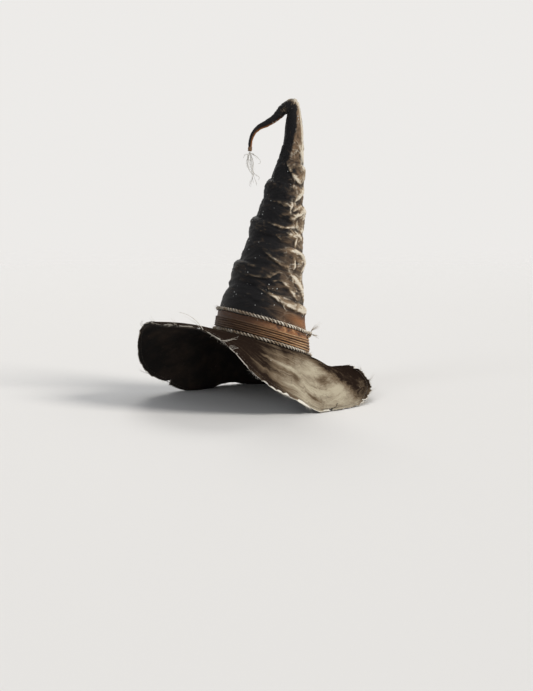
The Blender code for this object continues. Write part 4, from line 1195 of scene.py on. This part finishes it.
strands[..., 2] = np.maximum(strands[..., 2], fray["lowest"])
thick = fray["dia"] / 2 * (0.7 + 0.6 * pick.random((count, 1))) * np.array(fray["taper"])
brimFray = putTubes(
    "brimFray", strands, roundOutline(thick, 3), upWay[at][:, None], rimFibre, "hat")

roots, goes, bends, many, thickness = zip(*fray["strays"])
count = sum(many)
roots = np.repeat(roots, many) + pick.normal(0, fray["spread"][0], count)
goes, bends, thickness = [np.repeat(column, many, axis=0) / 1000.0 for column in (goes, bends, thickness)]
thickness = thickness[:, None]
at = np.argmin(np.abs(turned(spin[None, :] - roots[:, None])), axis=1)
stretch = np.where(thickness > fray["thickStray"], 1.0, pick.uniform(*fray["stretch"], (count, 1)))
goes = goes * stretch + pick.normal(0, fray["spread"][1], (count, 3))
bends = bends * stretch + pick.normal(0, fray["spread"][2], (count, 3))
strands = curvedThreads(edge[at] - 0.001 * outWay[at], goes, bends, 2.5, fray["strayRows"])
t = np.linspace(0, 1, fray["strayRows"])[None, :, None]
wiggle = np.sin(fray["wiggle"][1] * t + pick.uniform(0, 6.3, (count, 1, 1)))
strands = strands + fray["wiggle"][0] * t * wiggle * upWay[at][:, None]
strands[..., 2] = np.maximum(strands[..., 2], fray["lowest"])
thick = 0.5 * thickness * np.linspace(1.2, 0.5, fray["strayRows"])
brimStrays = putTubes(
    "brimStrays", strands, roundOutline(thick, 4), upWay[at][:, None], rimFibre, "hat")
print("fray:", len(brimFray.data.polygons) + len(brimStrays.data.polygons), "faces")

# Band: strap, wound thong, rope
band = {
    "height": 0.0390, "ropeDia": 0.0060,
    "strapThick": 0.0014, "strapWidth": 0.031, "strapRows": 30, "strapColumns": 480,
    "strapCreases": ((0.00035, 51, 26, 26, 260.0), (0.0002, 52, 20, 60, 700.0)),  # rise, then the waves
    "strapWander": (0.0012, 53, 12, 8, 1.0),
    "creased": 0.0005,  # a crease of this height is fully worn or shaded
    "thongDia": 0.0032, "thongTurns": 5, "thongPitch": 0.0039, "thongFan": 0.36, "thongStart": -12.0,
    "thongHalf": (0.0014, 0.0016), "thongRows": 1100, "thongSides": 18,
    "thongWander": (0.0004, 55, 16, 5, 9.0), "thongSwell": (0.13, 56, 20, 3, 60.0),
    "thongCrimp": (0.00014, 57, 24, 5, 150.0), "thongRub": (0.5, 58, 20, 4, 40.0),
    "ropeStart": -10.0, "crossFrom": -290.0, "crossTo": -345.0, "crossReach": 48.0, "lowerTurn": 340.0,
    "lay": 0.0150,  # length of one twist of the rope
    "loosen": (0.06, 61, 10, 2, 120.0), "uneven": (0.07, 62, 10, 2, 200.0),
    "unshaded": (-116.0, -46.0, 50.0, 178.0), "lit": (-88.0, -45.0, 20.0, 90.0),  # azimuths of the part free of the painted shade, and of the part with painted highlights
}
ropeR = band["ropeDia"] / 2
ropeLow = ropeR + 2 * gap
ropeHigh = ropeLow + band["height"]


def paintedLeftShade(azimuthAt):
    # 0 on the front right, 1 on the left: painted shade that darkens the leather and the rope away from the
    #                                      light
    return 1.0 - between(band["unshaded"], azimuthAt)


def outOfCrown(points, height, azimuthAt):
    # unit vectors from inside the crown to the points
    return unit(points - crownAt(height, azimuthAt, -0.02))


# strap: the crown's own surface, lifted by its thickness and by its creases, with rounded edges
strapLow = ropeLow + (band["height"] - band["strapWidth"]) / 2
around = spun(band["strapColumns"])
level = np.linspace(0, 1, band["strapRows"])
level = np.r_[level, level[::-1]][:, None]
outer = np.repeat([1.0, 0.0], band["strapRows"])[:, None]
fromMiddle = np.abs(2 * level - 1.0)
creases = waves(band["strapCreases"], around, level * 0.03)
outside = gap + outer * (band["strapThick"] * (1.0 - 0.5 * fromMiddle**8) + creases)
wander = waves([band["strapWander"]], around, 0.0) * (2 * level - 1.0)
strapPoints = crownAt(strapLow + level * band["strapWidth"] + wander, around, outside)
strapWear = 0.8 * np.clip(creases / band["creased"], 0, 1) + 0.35 * fromMiddle**6
# painted shade in the creases and in the lower part, under the thong
strapShade = np.maximum(np.clip(-creases / band["creased"], 0, 1), 1.0 - ease(0.55, 0.72, level))
putRing("bandStrap", strapPoints, 0.6, 0.001, strapHide, "band_strap", {
    "wearAndHighlight": strapWear * outer * (1.0 - 0.7 * paintedLeftShade(around)),
    "shade": np.maximum(strapShade, 0.95 * paintedLeftShade(around))})

# thong: wound as one length, its turns spread apart at the right, a little wider than deep
thongR = band["thongDia"] / 2
thongLow = ropeLow + ropeR + thongR + 2 * gap
thongOut = gap + band["strapThick"] + gap + 0.0012
wind = np.linspace(0.0, band["thongTurns"], band["thongRows"])
thongAzimuth = band["thongStart"] - 360.0 * wind
fan = 1.0 + band["thongFan"] * (0.5 + 0.5 * np.cos(np.radians(thongAzimuth))) ** 4
thongRise = thongLow + wind * band["thongPitch"] * fan + waves([band["thongWander"]], thongAzimuth, wind)
thongPath = crownAt(thongRise, thongAzimuth, thongOut)
outward = outOfCrown(thongPath, thongRise, thongAzimuth)
s = 2 * np.pi * np.arange(band["thongSides"]) / band["thongSides"]
swell = (fan * (1.0 + waves([band["thongSwell"]], thongAzimuth, wind)))[:, None]
crimp = waves([band["thongCrimp"]], np.degrees(s), wind[:, None])
endShrink = np.minimum(1.0, np.minimum(wind, wind[::-1]) / 0.004 + 0.25)[:, None]
thongOutline = endShrink[..., None] * np.stack([
    (band["thongHalf"][0] + crimp) * np.cos(s), (band["thongHalf"][1] * swell + crimp) * np.sin(s)], -1)
# painted highlight on the thong's upper outer side, stronger on the lit side and its top turn; painted shade
# on its lower side and on the left
upperHighlight = hump(np.sin(s) - 0.30, 0.38) * (np.cos(s) > 0)
rubs = band["thongRub"][0] * np.clip(ripples(np.degrees(s), wind[:, None], *band["thongRub"][1:]), 0, 1)
litSide = between(band["lit"], thongAzimuth)
topTurn = (litSide * ease(3.9, 4.3, wind))[:, None]
thongHighlight = upperHighlight * (0.34 + rubs) * (0.55 + 0.75 * litSide)[:, None] + 0.30 * upperHighlight * topTurn
thongShade = np.maximum(ease(0.45, 1.0, np.abs(np.sin(s) - 0.22)), 0.9 * paintedLeftShade(thongAzimuth)[:, None])
putTubes("bandThong", thongPath[None], thongOutline[None], outward[None], thongHide, "hat",
         ("band_thong",), {"wearAndHighlight": thongHighlight, "shade": thongShade})


def ropeStrands(name, node, path, outward, radius, lay, rows):
    # two strands on a helix of half the rope's radius round the path
    run = runAlong(path)
    at = np.linspace(0, run[-1], rows)
    line, out = resampled(at, run, path), unit(resampled(at, run, outward))
    way = unit(np.gradient(line, axis=0))
    out = unit(out - np.sum(out * way, -1, keepdims=True) * way)
    side = np.cross(way, out)
    turnTo = 2 * np.pi * at / lay + np.pi * np.arange(2)[:, None]
    loosen = 1.0 + waves([band["loosen"]], np.degrees(turnTo), at)
    turn = np.cos(turnTo)[..., None] * out + np.sin(turnTo)[..., None] * side
    strand = line + 0.50 * radius * loosen[..., None] * turn
    thick = 0.52 * radius * (1.0 + waves([band["uneven"]], np.degrees(turnTo), at))
    s = 2 * np.pi * np.arange(8) / 8
    outer = np.cos(s) * np.cos(turnTo)[..., None] + np.sin(s) * np.sin(turnTo)[..., None]
    where = np.degrees(np.arctan2(line[:, 1] - footPoint[1], line[:, 0] - footPoint[0]))
    # painted shade on the strands' inner sides, where they meet, and on the left of the hat
    shade = 1.0 - ease(-0.35, 0.65, outer) * (1.0 - 0.26 * paintedLeftShade(where)[:, None])
    putTubes(name, strand, roundOutline(thick, 8), out[None], ropeHemp, "hat", (node,),
             {"shade": shade})
    return strand


# rope: one turn along the top of the band, across it over the thong at the back, one turn along the foot
ropeAngle = np.linspace(band["ropeStart"], band["crossTo"] - band["lowerTurn"], 700)
ropeRise = ropeHigh + (ropeLow - ropeHigh) * ease(band["crossFrom"], band["crossTo"], ropeAngle)
fromCross = np.abs(ropeAngle - (band["crossFrom"] + band["crossTo"]) / 2) / band["crossReach"]
ropeFlat = gap + ropeR + 0.0004
ropeOver = thongOut + 0.0013 + ropeR + 0.0008
ropeMore = ropeFlat + (ropeOver - ropeFlat) * ease(0.0, 1.0, 2.4 * (1.0 - fromCross))
ropePath = crownAt(ropeRise, ropeAngle, ropeMore)
ropeLines = ropeStrands(
    "bandRope", "band_rope", ropePath, outOfCrown(ropePath, ropeRise, ropeAngle), ropeR, band["lay"], 1150)

# stray fibres of the rope
fuzz = {"count": 1100, "length": (0.0015, 0.0070), "dia": 0.00024, "taper": (1.0, 0.9, 0.7, 0.3), "seed": 63,
        "along": 1.0, "spread": 0.35, "curl": 0.3}
pick = np.random.default_rng(fuzz["seed"])
count = fuzz["count"]
which, at = pick.integers(0, 2, count), pick.integers(4, ropeLines.shape[1] - 4, count)
root = ropeLines[which, at]
lineWay = unit(ropeLines[which, at + 2] - ropeLines[which, at - 2])
outOf = unit(root - ropeLines[:, at].mean(axis=0) + 1e-6)
heading = outOf * (0.5 + pick.random((count, 1))) + lineWay * pick.normal(0, fuzz["along"], (count, 1))
heading = unit(heading + pick.normal(0, fuzz["spread"], (count, 3)))
length = fuzz["length"][0] + (fuzz["length"][1] - fuzz["length"][0]) * pick.random((count, 1)) ** 2.5
curl = length * pick.normal(0, fuzz["curl"], (count, 3))
strands = curvedThreads(root + 0.0009 * outOf, length * heading, curl, 2, len(fuzz["taper"]))
thick = fuzz["dia"] / 2 * np.ones((count, 1)) * np.array(fuzz["taper"])
putTubes("ropeFuzz", strands, roundOutline(thick, 3), np.cross(heading, lineWay + 0.01)[:, None], ropeHemp,
         "hat")

# knot of the rope with frayed ends
knot = {
    "width": 0.0120, "height": 0.0090, "scale": 0.00165, "radius": 0.0022, "lay": 0.0085,
    "ends": 26, "rising": 14, "rows": 10, "seed": 71,
    "dia": (0.00032, 0.00052),  # least, and how much more at most
    # the rising ends and the others: way along the rope, up and out, least length and spread, bow outwards
    "tufts": ((-0.1, 1.05, 0.30), (0.4, 0.12, 1.0)), "length": ((0.012, 0.012), (0.006, 0.010)),
    "bow": (1.0, 0.2), "spread": 0.14, "bowSpread": 0.20, "wiggle": (0.0005, 7.0),
}
knotOut = gap + band["strapThick"] + gap + knot["height"] / 2
knotTurn = band["ropeStart"] + math.degrees((knot["width"] / 2 - gap) / (hat["footHalf"][0] + knotOut))
thongTop = thongLow + band["thongTurns"] * band["thongPitch"] * (1.0 + band["thongFan"]) + thongR
knotRise = max(ropeHigh, thongTop + knot["height"] / 2 + 4 * gap)
knotAt = crownAt(knotRise, knotTurn, knotOut)
knotSide = math.radians(knotTurn)
outWay = math.cos(knotSide) * footRight + math.sin(knotSide) * footBack
roundWay = math.cos(knotSide) * footBack - math.sin(knotSide) * footRight
knotAxes = np.stack([roundWay, footUp, outWay])
t = np.linspace(0, 2 * np.pi, 240)
# overhand loop: (sin t + 2 sin 2t, cos t - 2 cos 2t, -1.3 sin 3t)
loop = np.stack([np.sin(t) + 2 * np.sin(2 * t), np.cos(t) - 2 * np.cos(2 * t), -1.3 * np.sin(3 * t)], -1)
knotPath = knotAt + knot["scale"] * loop @ knotAxes
knotOutward = np.broadcast_to(outWay, knotPath.shape)
ropeStrands("bandKnot", "band_knot", knotPath, knotOutward, knot["radius"], knot["lay"], 220)
pick = np.random.default_rng(knot["seed"])
count = knot["ends"]
rising = np.arange(count)[:, None] < knot["rising"]
tuft = np.where(rising, *(np.array(row) @ knotAxes for row in knot["tufts"]))
heading = unit(tuft + pick.normal(0, knot["spread"], (count, 3)))
length = np.where(rising, *(least + more * pick.random((count, 1)) for least, more in knot["length"]))
bow = pick.normal(0, knot["bowSpread"], (count, 3)) + np.where(rising, *knot["bow"]) * outWay
strands = curvedThreads(knotAt + 0.003 * unit(tuft), length * heading, 0.5 * length * bow, 3, knot["rows"])
t = np.linspace(0, 1, knot["rows"])[None, :, None]
wiggle = np.sin(knot["wiggle"][1] * t + pick.uniform(0, 6.3, (count, 1, 1)))
strands = strands + knot["wiggle"][0] * wiggle * roundWay
thick = 0.5 * (knot["dia"][0] + knot["dia"][1] * pick.random((count, 1)) ** 2)
thick = thick * np.linspace(1.2, 0.5, knot["rows"])
putTubes("knotEnds", strands, roundOutline(thick, 4), np.cross(heading, roundWay)[:, None], ropeHemp,
         "hat")
print("band made")

# Inside: lining and sweatband
inside = {
    "liningHeight": 0.295, "liningAt": 0.0035, "liningThick": 0.0007, "slack": 0.0015,
    "liningRows": 90, "liningColumns": 240, "liningFolds": (0.0009, 81, 18, 14, 90.0), "liningEase": 0.0012,
    "sweatHeight": 0.036, "sweatThick": 0.0015, "sweatRows": 14, "sweatColumns": 320,
    "sweatWave": (0.0003, 83, 20, 24, 1.0), "sweatRub": (0.3, 84, 18, 20, 9.0),
}
# lining: the crown's surface set in by the layers and half the deepest fold, with slack folds and a top
around = spun(inside["liningColumns"])
up = np.linspace(0.0, inside["liningHeight"], inside["liningRows"])[:, None]
easeIn = inside["slack"] + 0.5 * max(row[3] for row in folds["creases"])
setIn = inside["liningAt"] + easeIn * foldedShare(up) + inside["liningEase"] * ease(0.02, 0.06, up)
slackFold = waves([inside["liningFolds"]], around, up) * ease(0.02, 0.08, up)
liningWall = crownAt(up, around, slackFold - setIn)
top = liningWall[-1:].mean(axis=1, keepdims=True)
k = np.array([0.75, 0.5, 0.25, 0.02])[:, None, None]
lid = top + k * (liningWall[-1:] - top) - np.array([0, 0, 0.004]) * (1 - k)
lining = np.concatenate([liningWall, lid])
downWay = np.broadcast_to((0.0, 0.0, -1.0), lid.shape)
toward = np.concatenate([crownAt(up, around, -0.05) - liningWall, downWay])
innerFace = lining + inside["liningThick"] * unit(toward)
crownLining = putRing("crownLining", np.concatenate([lining, innerFace[::-1]]), 0.55, 0.001,
                      liningCloth, "crown_lining")

around = spun(inside["sweatColumns"])
brimStack = brim["topThick"] + brim["canvasThick"] + brim["underThick"] + 3 * gap
sweatAt = inside["liningAt"] + inside["liningThick"] + gap


def sweatFace(thick, wave):
    # an oval under the foot, then the crown's own wall up to the height of the sweatband
    a = np.radians(around)[:, None]
    wide, deep = np.array(hat["footHalf"]) - sweatAt - thick
    low = footPoint - brimStack * footUp + wide * np.cos(a) * footRight + deep * np.sin(a) * footBack
    up = np.linspace(0.0, inside["sweatHeight"], inside["sweatRows"])[:, None]
    wall = crownAt(up, around, -sweatAt - thick + wave * ease(0.0, 0.01, up))
    share = np.linspace(0, 1, 5)[:-1, None, None]
    return np.concatenate([low[None] + share * (wall[:1] - low[None]), wall])


outer = sweatFace(0.0, 0.0)
inner = sweatFace(inside["sweatThick"], waves([inside["sweatWave"]], around, 0.0))
rub = ripples(around, np.linspace(0, 1, len(inner))[:, None], *inside["sweatRub"][1:])
rub = 0.25 + inside["sweatRub"][0] * np.clip(rub, -0.5, 1)
sweatMarks = {"wearAndHighlight": np.concatenate([np.zeros(rub.shape), rub]), "shade": np.zeros((2, *rub.shape))}
putRing("sweatbandLeather", np.concatenate([outer, inner[::-1]]), 0.55, 0.0015,
        sweatHide, "sweatband", sweatMarks)

# Stitches along both sides of the back seam, round the sweatband and inside the rim
stitches = {
    "seamFrom": 0.052, "seamTo": 0.372, "seamStep": 0.0075, "seamSide": 0.0032,
    "sweatCount": 110, "sweatRow": 6, "rimCount": 300, "rimInset": 0.0085, "rimLowest": 0.003,
    # length, how deep the ends sink, thickness
    "seam": (0.0048, 0.0012, 0.0011), "sweat": (0.0036, 0.0009, 0.0009), "rim": (0.0030, 0.0007, 0.0007),
    "taper": (0.7, 1, 1, 1, 1, 1, 0.7),
}


def stitchRow(name, centre, way, outward, kind):
    # short arched threads: the middle of each, the way it runs and its normal
    length, sink, dia = stitches[kind]
    t = np.linspace(-1, 1, len(stitches["taper"]))[None, :, None]
    path = centre[:, None] + 0.5 * length * t * way[:, None] + outward[:, None] * (dia * 0.55 - sink * t**4)
    thick = dia / 2 * np.ones((len(centre), 1)) * np.array(stitches["taper"])
    putTubes(name, path, roundOutline(thick, 6), outward[:, None], darkThread, "hat")


seamUp = np.arange(stitches["seamFrom"], stitches["seamTo"], stitches["seamStep"])
girth = smoothRows(hat["stations"], seamUp)[:, 2]
for label, sign in (("seamStitchesA", -1), ("seamStitchesB", 1)):
    az = hat["seamAzimuth"] + sign * np.degrees(stitches["seamSide"] / girth)
    way = unit(crownPoint(seamUp + 0.001, az) - crownPoint(seamUp - 0.001, az))
    sideTo = unit(crownPoint(seamUp, az + 1.0) - crownPoint(seamUp, az - 1.0))
    stitchRow(label, crownPoint(seamUp, az), way, unit(np.cross(sideTo, way)), "seam")

ring, outerRing = inner[stitches["sweatRow"]], outer[stitches["sweatRow"]]
at = np.linspace(0, len(ring), stitches["sweatCount"], endpoint=False).astype(int)
way = unit(np.roll(ring, -1, axis=0) - ring)
stitchRow("sweatStitches", ring[at], way[at], unit(ring - outerRing)[at], "sweat")

at = np.linspace(0, brim["columns"], stitches["rimCount"], endpoint=False).astype(int)
share = 1.0 - stitches["rimInset"] / runOut
rimBand = brimAt(np.stack([share - 0.01, share, share + 0.01]))
lift = (brimLift(rimBand)[1] * np.sign(brimLift(topFace[:4])[2, :, 2:]))[at]
way = unit(np.roll(rimBand[1], -1, axis=0) - np.roll(rimBand[1], 1, axis=0))[at]
centre = rimBand[1][at] + (halfCanvas + gap + brim["topThick"]) * lift
stitchRow("rimStitchesTop", centre, way, lift, "rim")
centre = rimBand[1][at] - (halfCanvas + gap + brim["underThick"]) * lift
keep = centre[:, 2] > stitches["rimLowest"]
stitchRow("rimStitchesUnder", centre[keep], way[keep], -lift[keep], "rim")
print("inside and stitches made")

# Whipping at the end of the tail: a coil round its axis
whipping = {"turns": 7, "dia": 0.0011, "length": 0.0075, "radius": 0.0033, "start": 0.0004}
backWay = np.array([0.0, 1.0, 0.0])
abovePoint, endPoint = [np.array(hat["fold"]) - (row[0], 0.0, row[1]) for row in tip["tail"][-2:]]
upTail = unit(abovePoint - endPoint)
sideX = unit(np.cross(backWay, upTail))
t = np.linspace(0, 1, whipping["turns"] * 26)
spinTo = 2 * np.pi * whipping["turns"] * t
outTo = np.cos(spinTo)[:, None] * sideX + np.sin(spinTo)[:, None] * backWay
grow = whipping["radius"] + 0.0003 * t + 0.0002 * np.sin(5 * t * 6.3)
coil = endPoint + (whipping["start"] + whipping["length"] * t)[:, None] * upTail + grow[:, None] * outTo
thick = whipping["dia"] / 2 * np.minimum(1.0, np.minimum(t, 1 - t) * 40 + 0.3)
putTubes("tipWhipping", coil[None], roundOutline(thick[None], 8), outTo[None], whipThread, "tip",
         ("tip_binding",))

# Tassel: loose threads drawn one by one, each with finer threads that follow it, and short ends at the top
tassel = {
    # across to +X and down from the knot, in mm
    "drawn": (
        ((0, 0), (-3, 3), (-7, 4), (-10, 6), (-12, 10)),
        ((0, 0), (-1, 4), (-2.5, 12), (-3.6, 20), (-2.5, 28), (1.5, 36), (7, 43), (10, 51), (13, 61)),
        ((0, 0), (2.5, 5), (5, 12), (6.5, 20), (5, 28), (4.5, 36), (6, 43), (3, 52), (-1, 62)),
        ((0, 0), (4, 3), (10, 6), (16, 11), (19.5, 16), (19, 20), (16, 21)),
        ((0, 0), (3, 10), (4, 22), (6, 34), (10, 41), (15, 44), (18, 47), (16, 51)),
        ((0, 0), (3, 2), (7, 3), (9, 6)),
        ((0, 0), (-3, 8), (-5, 16), (-4.5, 25), (-2, 31)),
        ((0, 0), (1.5, 8), (0.5, 18), (2.5, 29), (6.5, 38), (5, 48), (6.5, 56)),
        ((0, 0), (-4, 5), (-4, 11), (0, 14), (4, 11), (3, 5)),
    ),
    "followers": 3, "stray": 0.0016, "depth": 0.0075, "dia": 0.00110, "fineDia": 0.00050, "rows": 44,
    "shortest": 0.55, "seed": 91,
    "knotTurns": 4, "knotRows": 90, "knotRadius": 0.0015, "knotDia": 0.0011,
    "knotTop": 0.0012, "knotDrop": 0.0046,
}
pick = np.random.default_rng(tassel["seed"])
each = tassel["followers"] + 1
t = np.linspace(0, 1, tassel["rows"])
threads = []
for line in tassel["drawn"]:
    line = np.array(line, float) / 1000.0
    run = runAlong(line)
    path = smoothRows(np.column_stack([run, line]), t * run[-1])
    for k in range(each):
        sway = pick.normal(0, tassel["stray"], (3, 3)) * (k > 0)
        stray = sum(sway[j] * np.sin((1.3 + 1.7 * j) * t + j)[:, None] for j in range(3))
        deep = tassel["depth"] * np.clip(pick.normal(), -1.3, 1.3) * np.sin(2.6 * t)
        short = pick.uniform(tassel["shortest"], 1.0) if k else 1.0
        bent = np.stack([path[:, 0], deep, -path[:, 1]], -1) + stray * t[:, None]
        threads.append(resampled(t * short, t, bent))
threads = np.array(hat["swing"]) + np.array(threads)
fine = np.arange(len(threads)) % each > 0
thick = np.where(fine, tassel["fineDia"], tassel["dia"])[:, None] / 2 * (1.0 - 0.4 * t)
putTubes("tasselThreads", threads, roundOutline(thick, 5), np.array([0.3, 1.0, 0.2]), tasselThread, "tassel",
         ("tassel_threads",))

# small knot that the threads hang from: turns of thread round their heads, on a barrel
t = np.linspace(0, 1, tassel["knotRows"])
spinTo = 2 * np.pi * tassel["knotTurns"] * t
outTo = np.stack([np.cos(spinTo), np.sin(spinTo), 0 * t], -1)
barrel = tassel["knotRadius"] * np.sin(np.pi * (0.12 + 0.76 * t))
knotLine = hat["swing"] + barrel[:, None] * outTo
knotLine[:, 2] = knotLine[:, 2] + tassel["knotTop"] - tassel["knotDrop"] * t
thick = np.full((1, len(t)), tassel["knotDia"] / 2)
putTubes("tasselKnot", knotLine[None], roundOutline(thick, 7), outTo[None], tasselThread, "tassel")
print("tip and tassel made")

# Stage, light and camera
stage = {
    "floorHalf": 14.0, "floorColour": (0.80, 0.795, 0.78, 1.0), "floorFade": (0.9, 6.0),
    "soft": {"Color": (0.86, 0.88, 0.92, 1.0), "Strength": 0.36},  # what lights the hat
    "pale": {"Color": (0.845, 0.83, 0.81, 1.0), "Strength": 1.0},  # what the camera sees behind it
    # azimuth and elevation each lamp shines from, strength, colour
    "lamps": {
        "key": (-26.0, 35.0, 2.4, (1.0, 0.955, 0.90)),
        "fill": (-135.0, 32.0, 0.40, (0.93, 0.96, 1.0)),
        "back": (95.0, 40.0, 0.7, (1.0, 0.98, 0.95)),
    },
    "lampAngle": 0.4,
    "aim": (0.0224, 0.0103, 0.1015), "place": (0.0224, -2.5703, 0.4183), "lens": 71.3,
}
wide = stage["floorHalf"]
floorCorners = [(-wide, -wide, 0), (wide, -wide, 0), (wide, wide, 0), (-wide, wide, 0)]
floorMesh = bpy.data.meshes.new("floor")
floorMesh.from_pydata(floorCorners, [], [(0, 1, 2, 3)])
g = newFinish("paleFloor", 0.7)
g.shader.inputs["Base Color"].default_value = stage["floorColour"]
far = g.put("ShaderNodeVectorMath", {0: g.space}, operation="LENGTH")["Value"]
solid, clear = Signal(g, g.shader.outputs[0]), g.out("ShaderNodeBsdfTransparent")
faded = g.out("ShaderNodeMixShader", {0: far.ramp(*stage["floorFade"]), 1: solid, 2: clear})
g.tree.links.new(faded.socket, g.tree.nodes["Material Output"].inputs["Surface"])
floorMesh.materials.append(g.made)
floor = bpy.data.objects.new("floor", floorMesh)
scene.collection.objects.link(floor)

scene.world = bpy.data.worlds.new("studio")
scene.world.use_nodes = True
g = Graph(scene.world.node_tree)
g.tree.nodes.clear()
path = g.put("ShaderNodeLightPath")
seen = path["Is Glossy Ray"].math("MAXIMUM", path["Is Transmission Ray"])
seen = path["Is Camera Ray"].math("MAXIMUM", seen)
soft, pale = [g.out("ShaderNodeBackground", stage[key]) for key in ("soft", "pale")]
g.put("ShaderNodeOutputWorld", {"Surface": g.out("ShaderNodeMixShader", {0: seen, 1: soft, 2: pale})})


def aimed(item, place, aim):
    # turn -Z of the item towards aim, +Y up
    toward = unit(np.array(aim, float) - np.array(place, float))
    item.location = place
    item.rotation_euler = (math.acos(-toward[2]), 0.0, math.atan2(toward[1], toward[0]) - math.pi / 2)
    scene.collection.objects.link(item)


for label, (side, rise, strength, tint) in stage["lamps"].items():
    lamp = bpy.data.lights.new(label, "SUN")
    lamp.energy, lamp.angle, lamp.color = strength, stage["lampAngle"], tint
    a, e = math.radians(side), math.radians(rise)
    place = (3 * math.cos(a) * math.cos(e), 3 * math.sin(a) * math.cos(e), 3 * math.sin(e))
    aimed(bpy.data.objects.new(label, lamp), place, (0.0, 0.0, 0.0))

camera = bpy.data.objects.new("camera", bpy.data.cameras.new("camera"))
camera.data.lens, camera.data.sensor_width = stage["lens"], 36.0
camera.data.clip_start, camera.data.clip_end = 0.05, 60.0
aimed(camera, stage["place"], stage["aim"])
scene.camera = camera
print("stage, light and camera made")
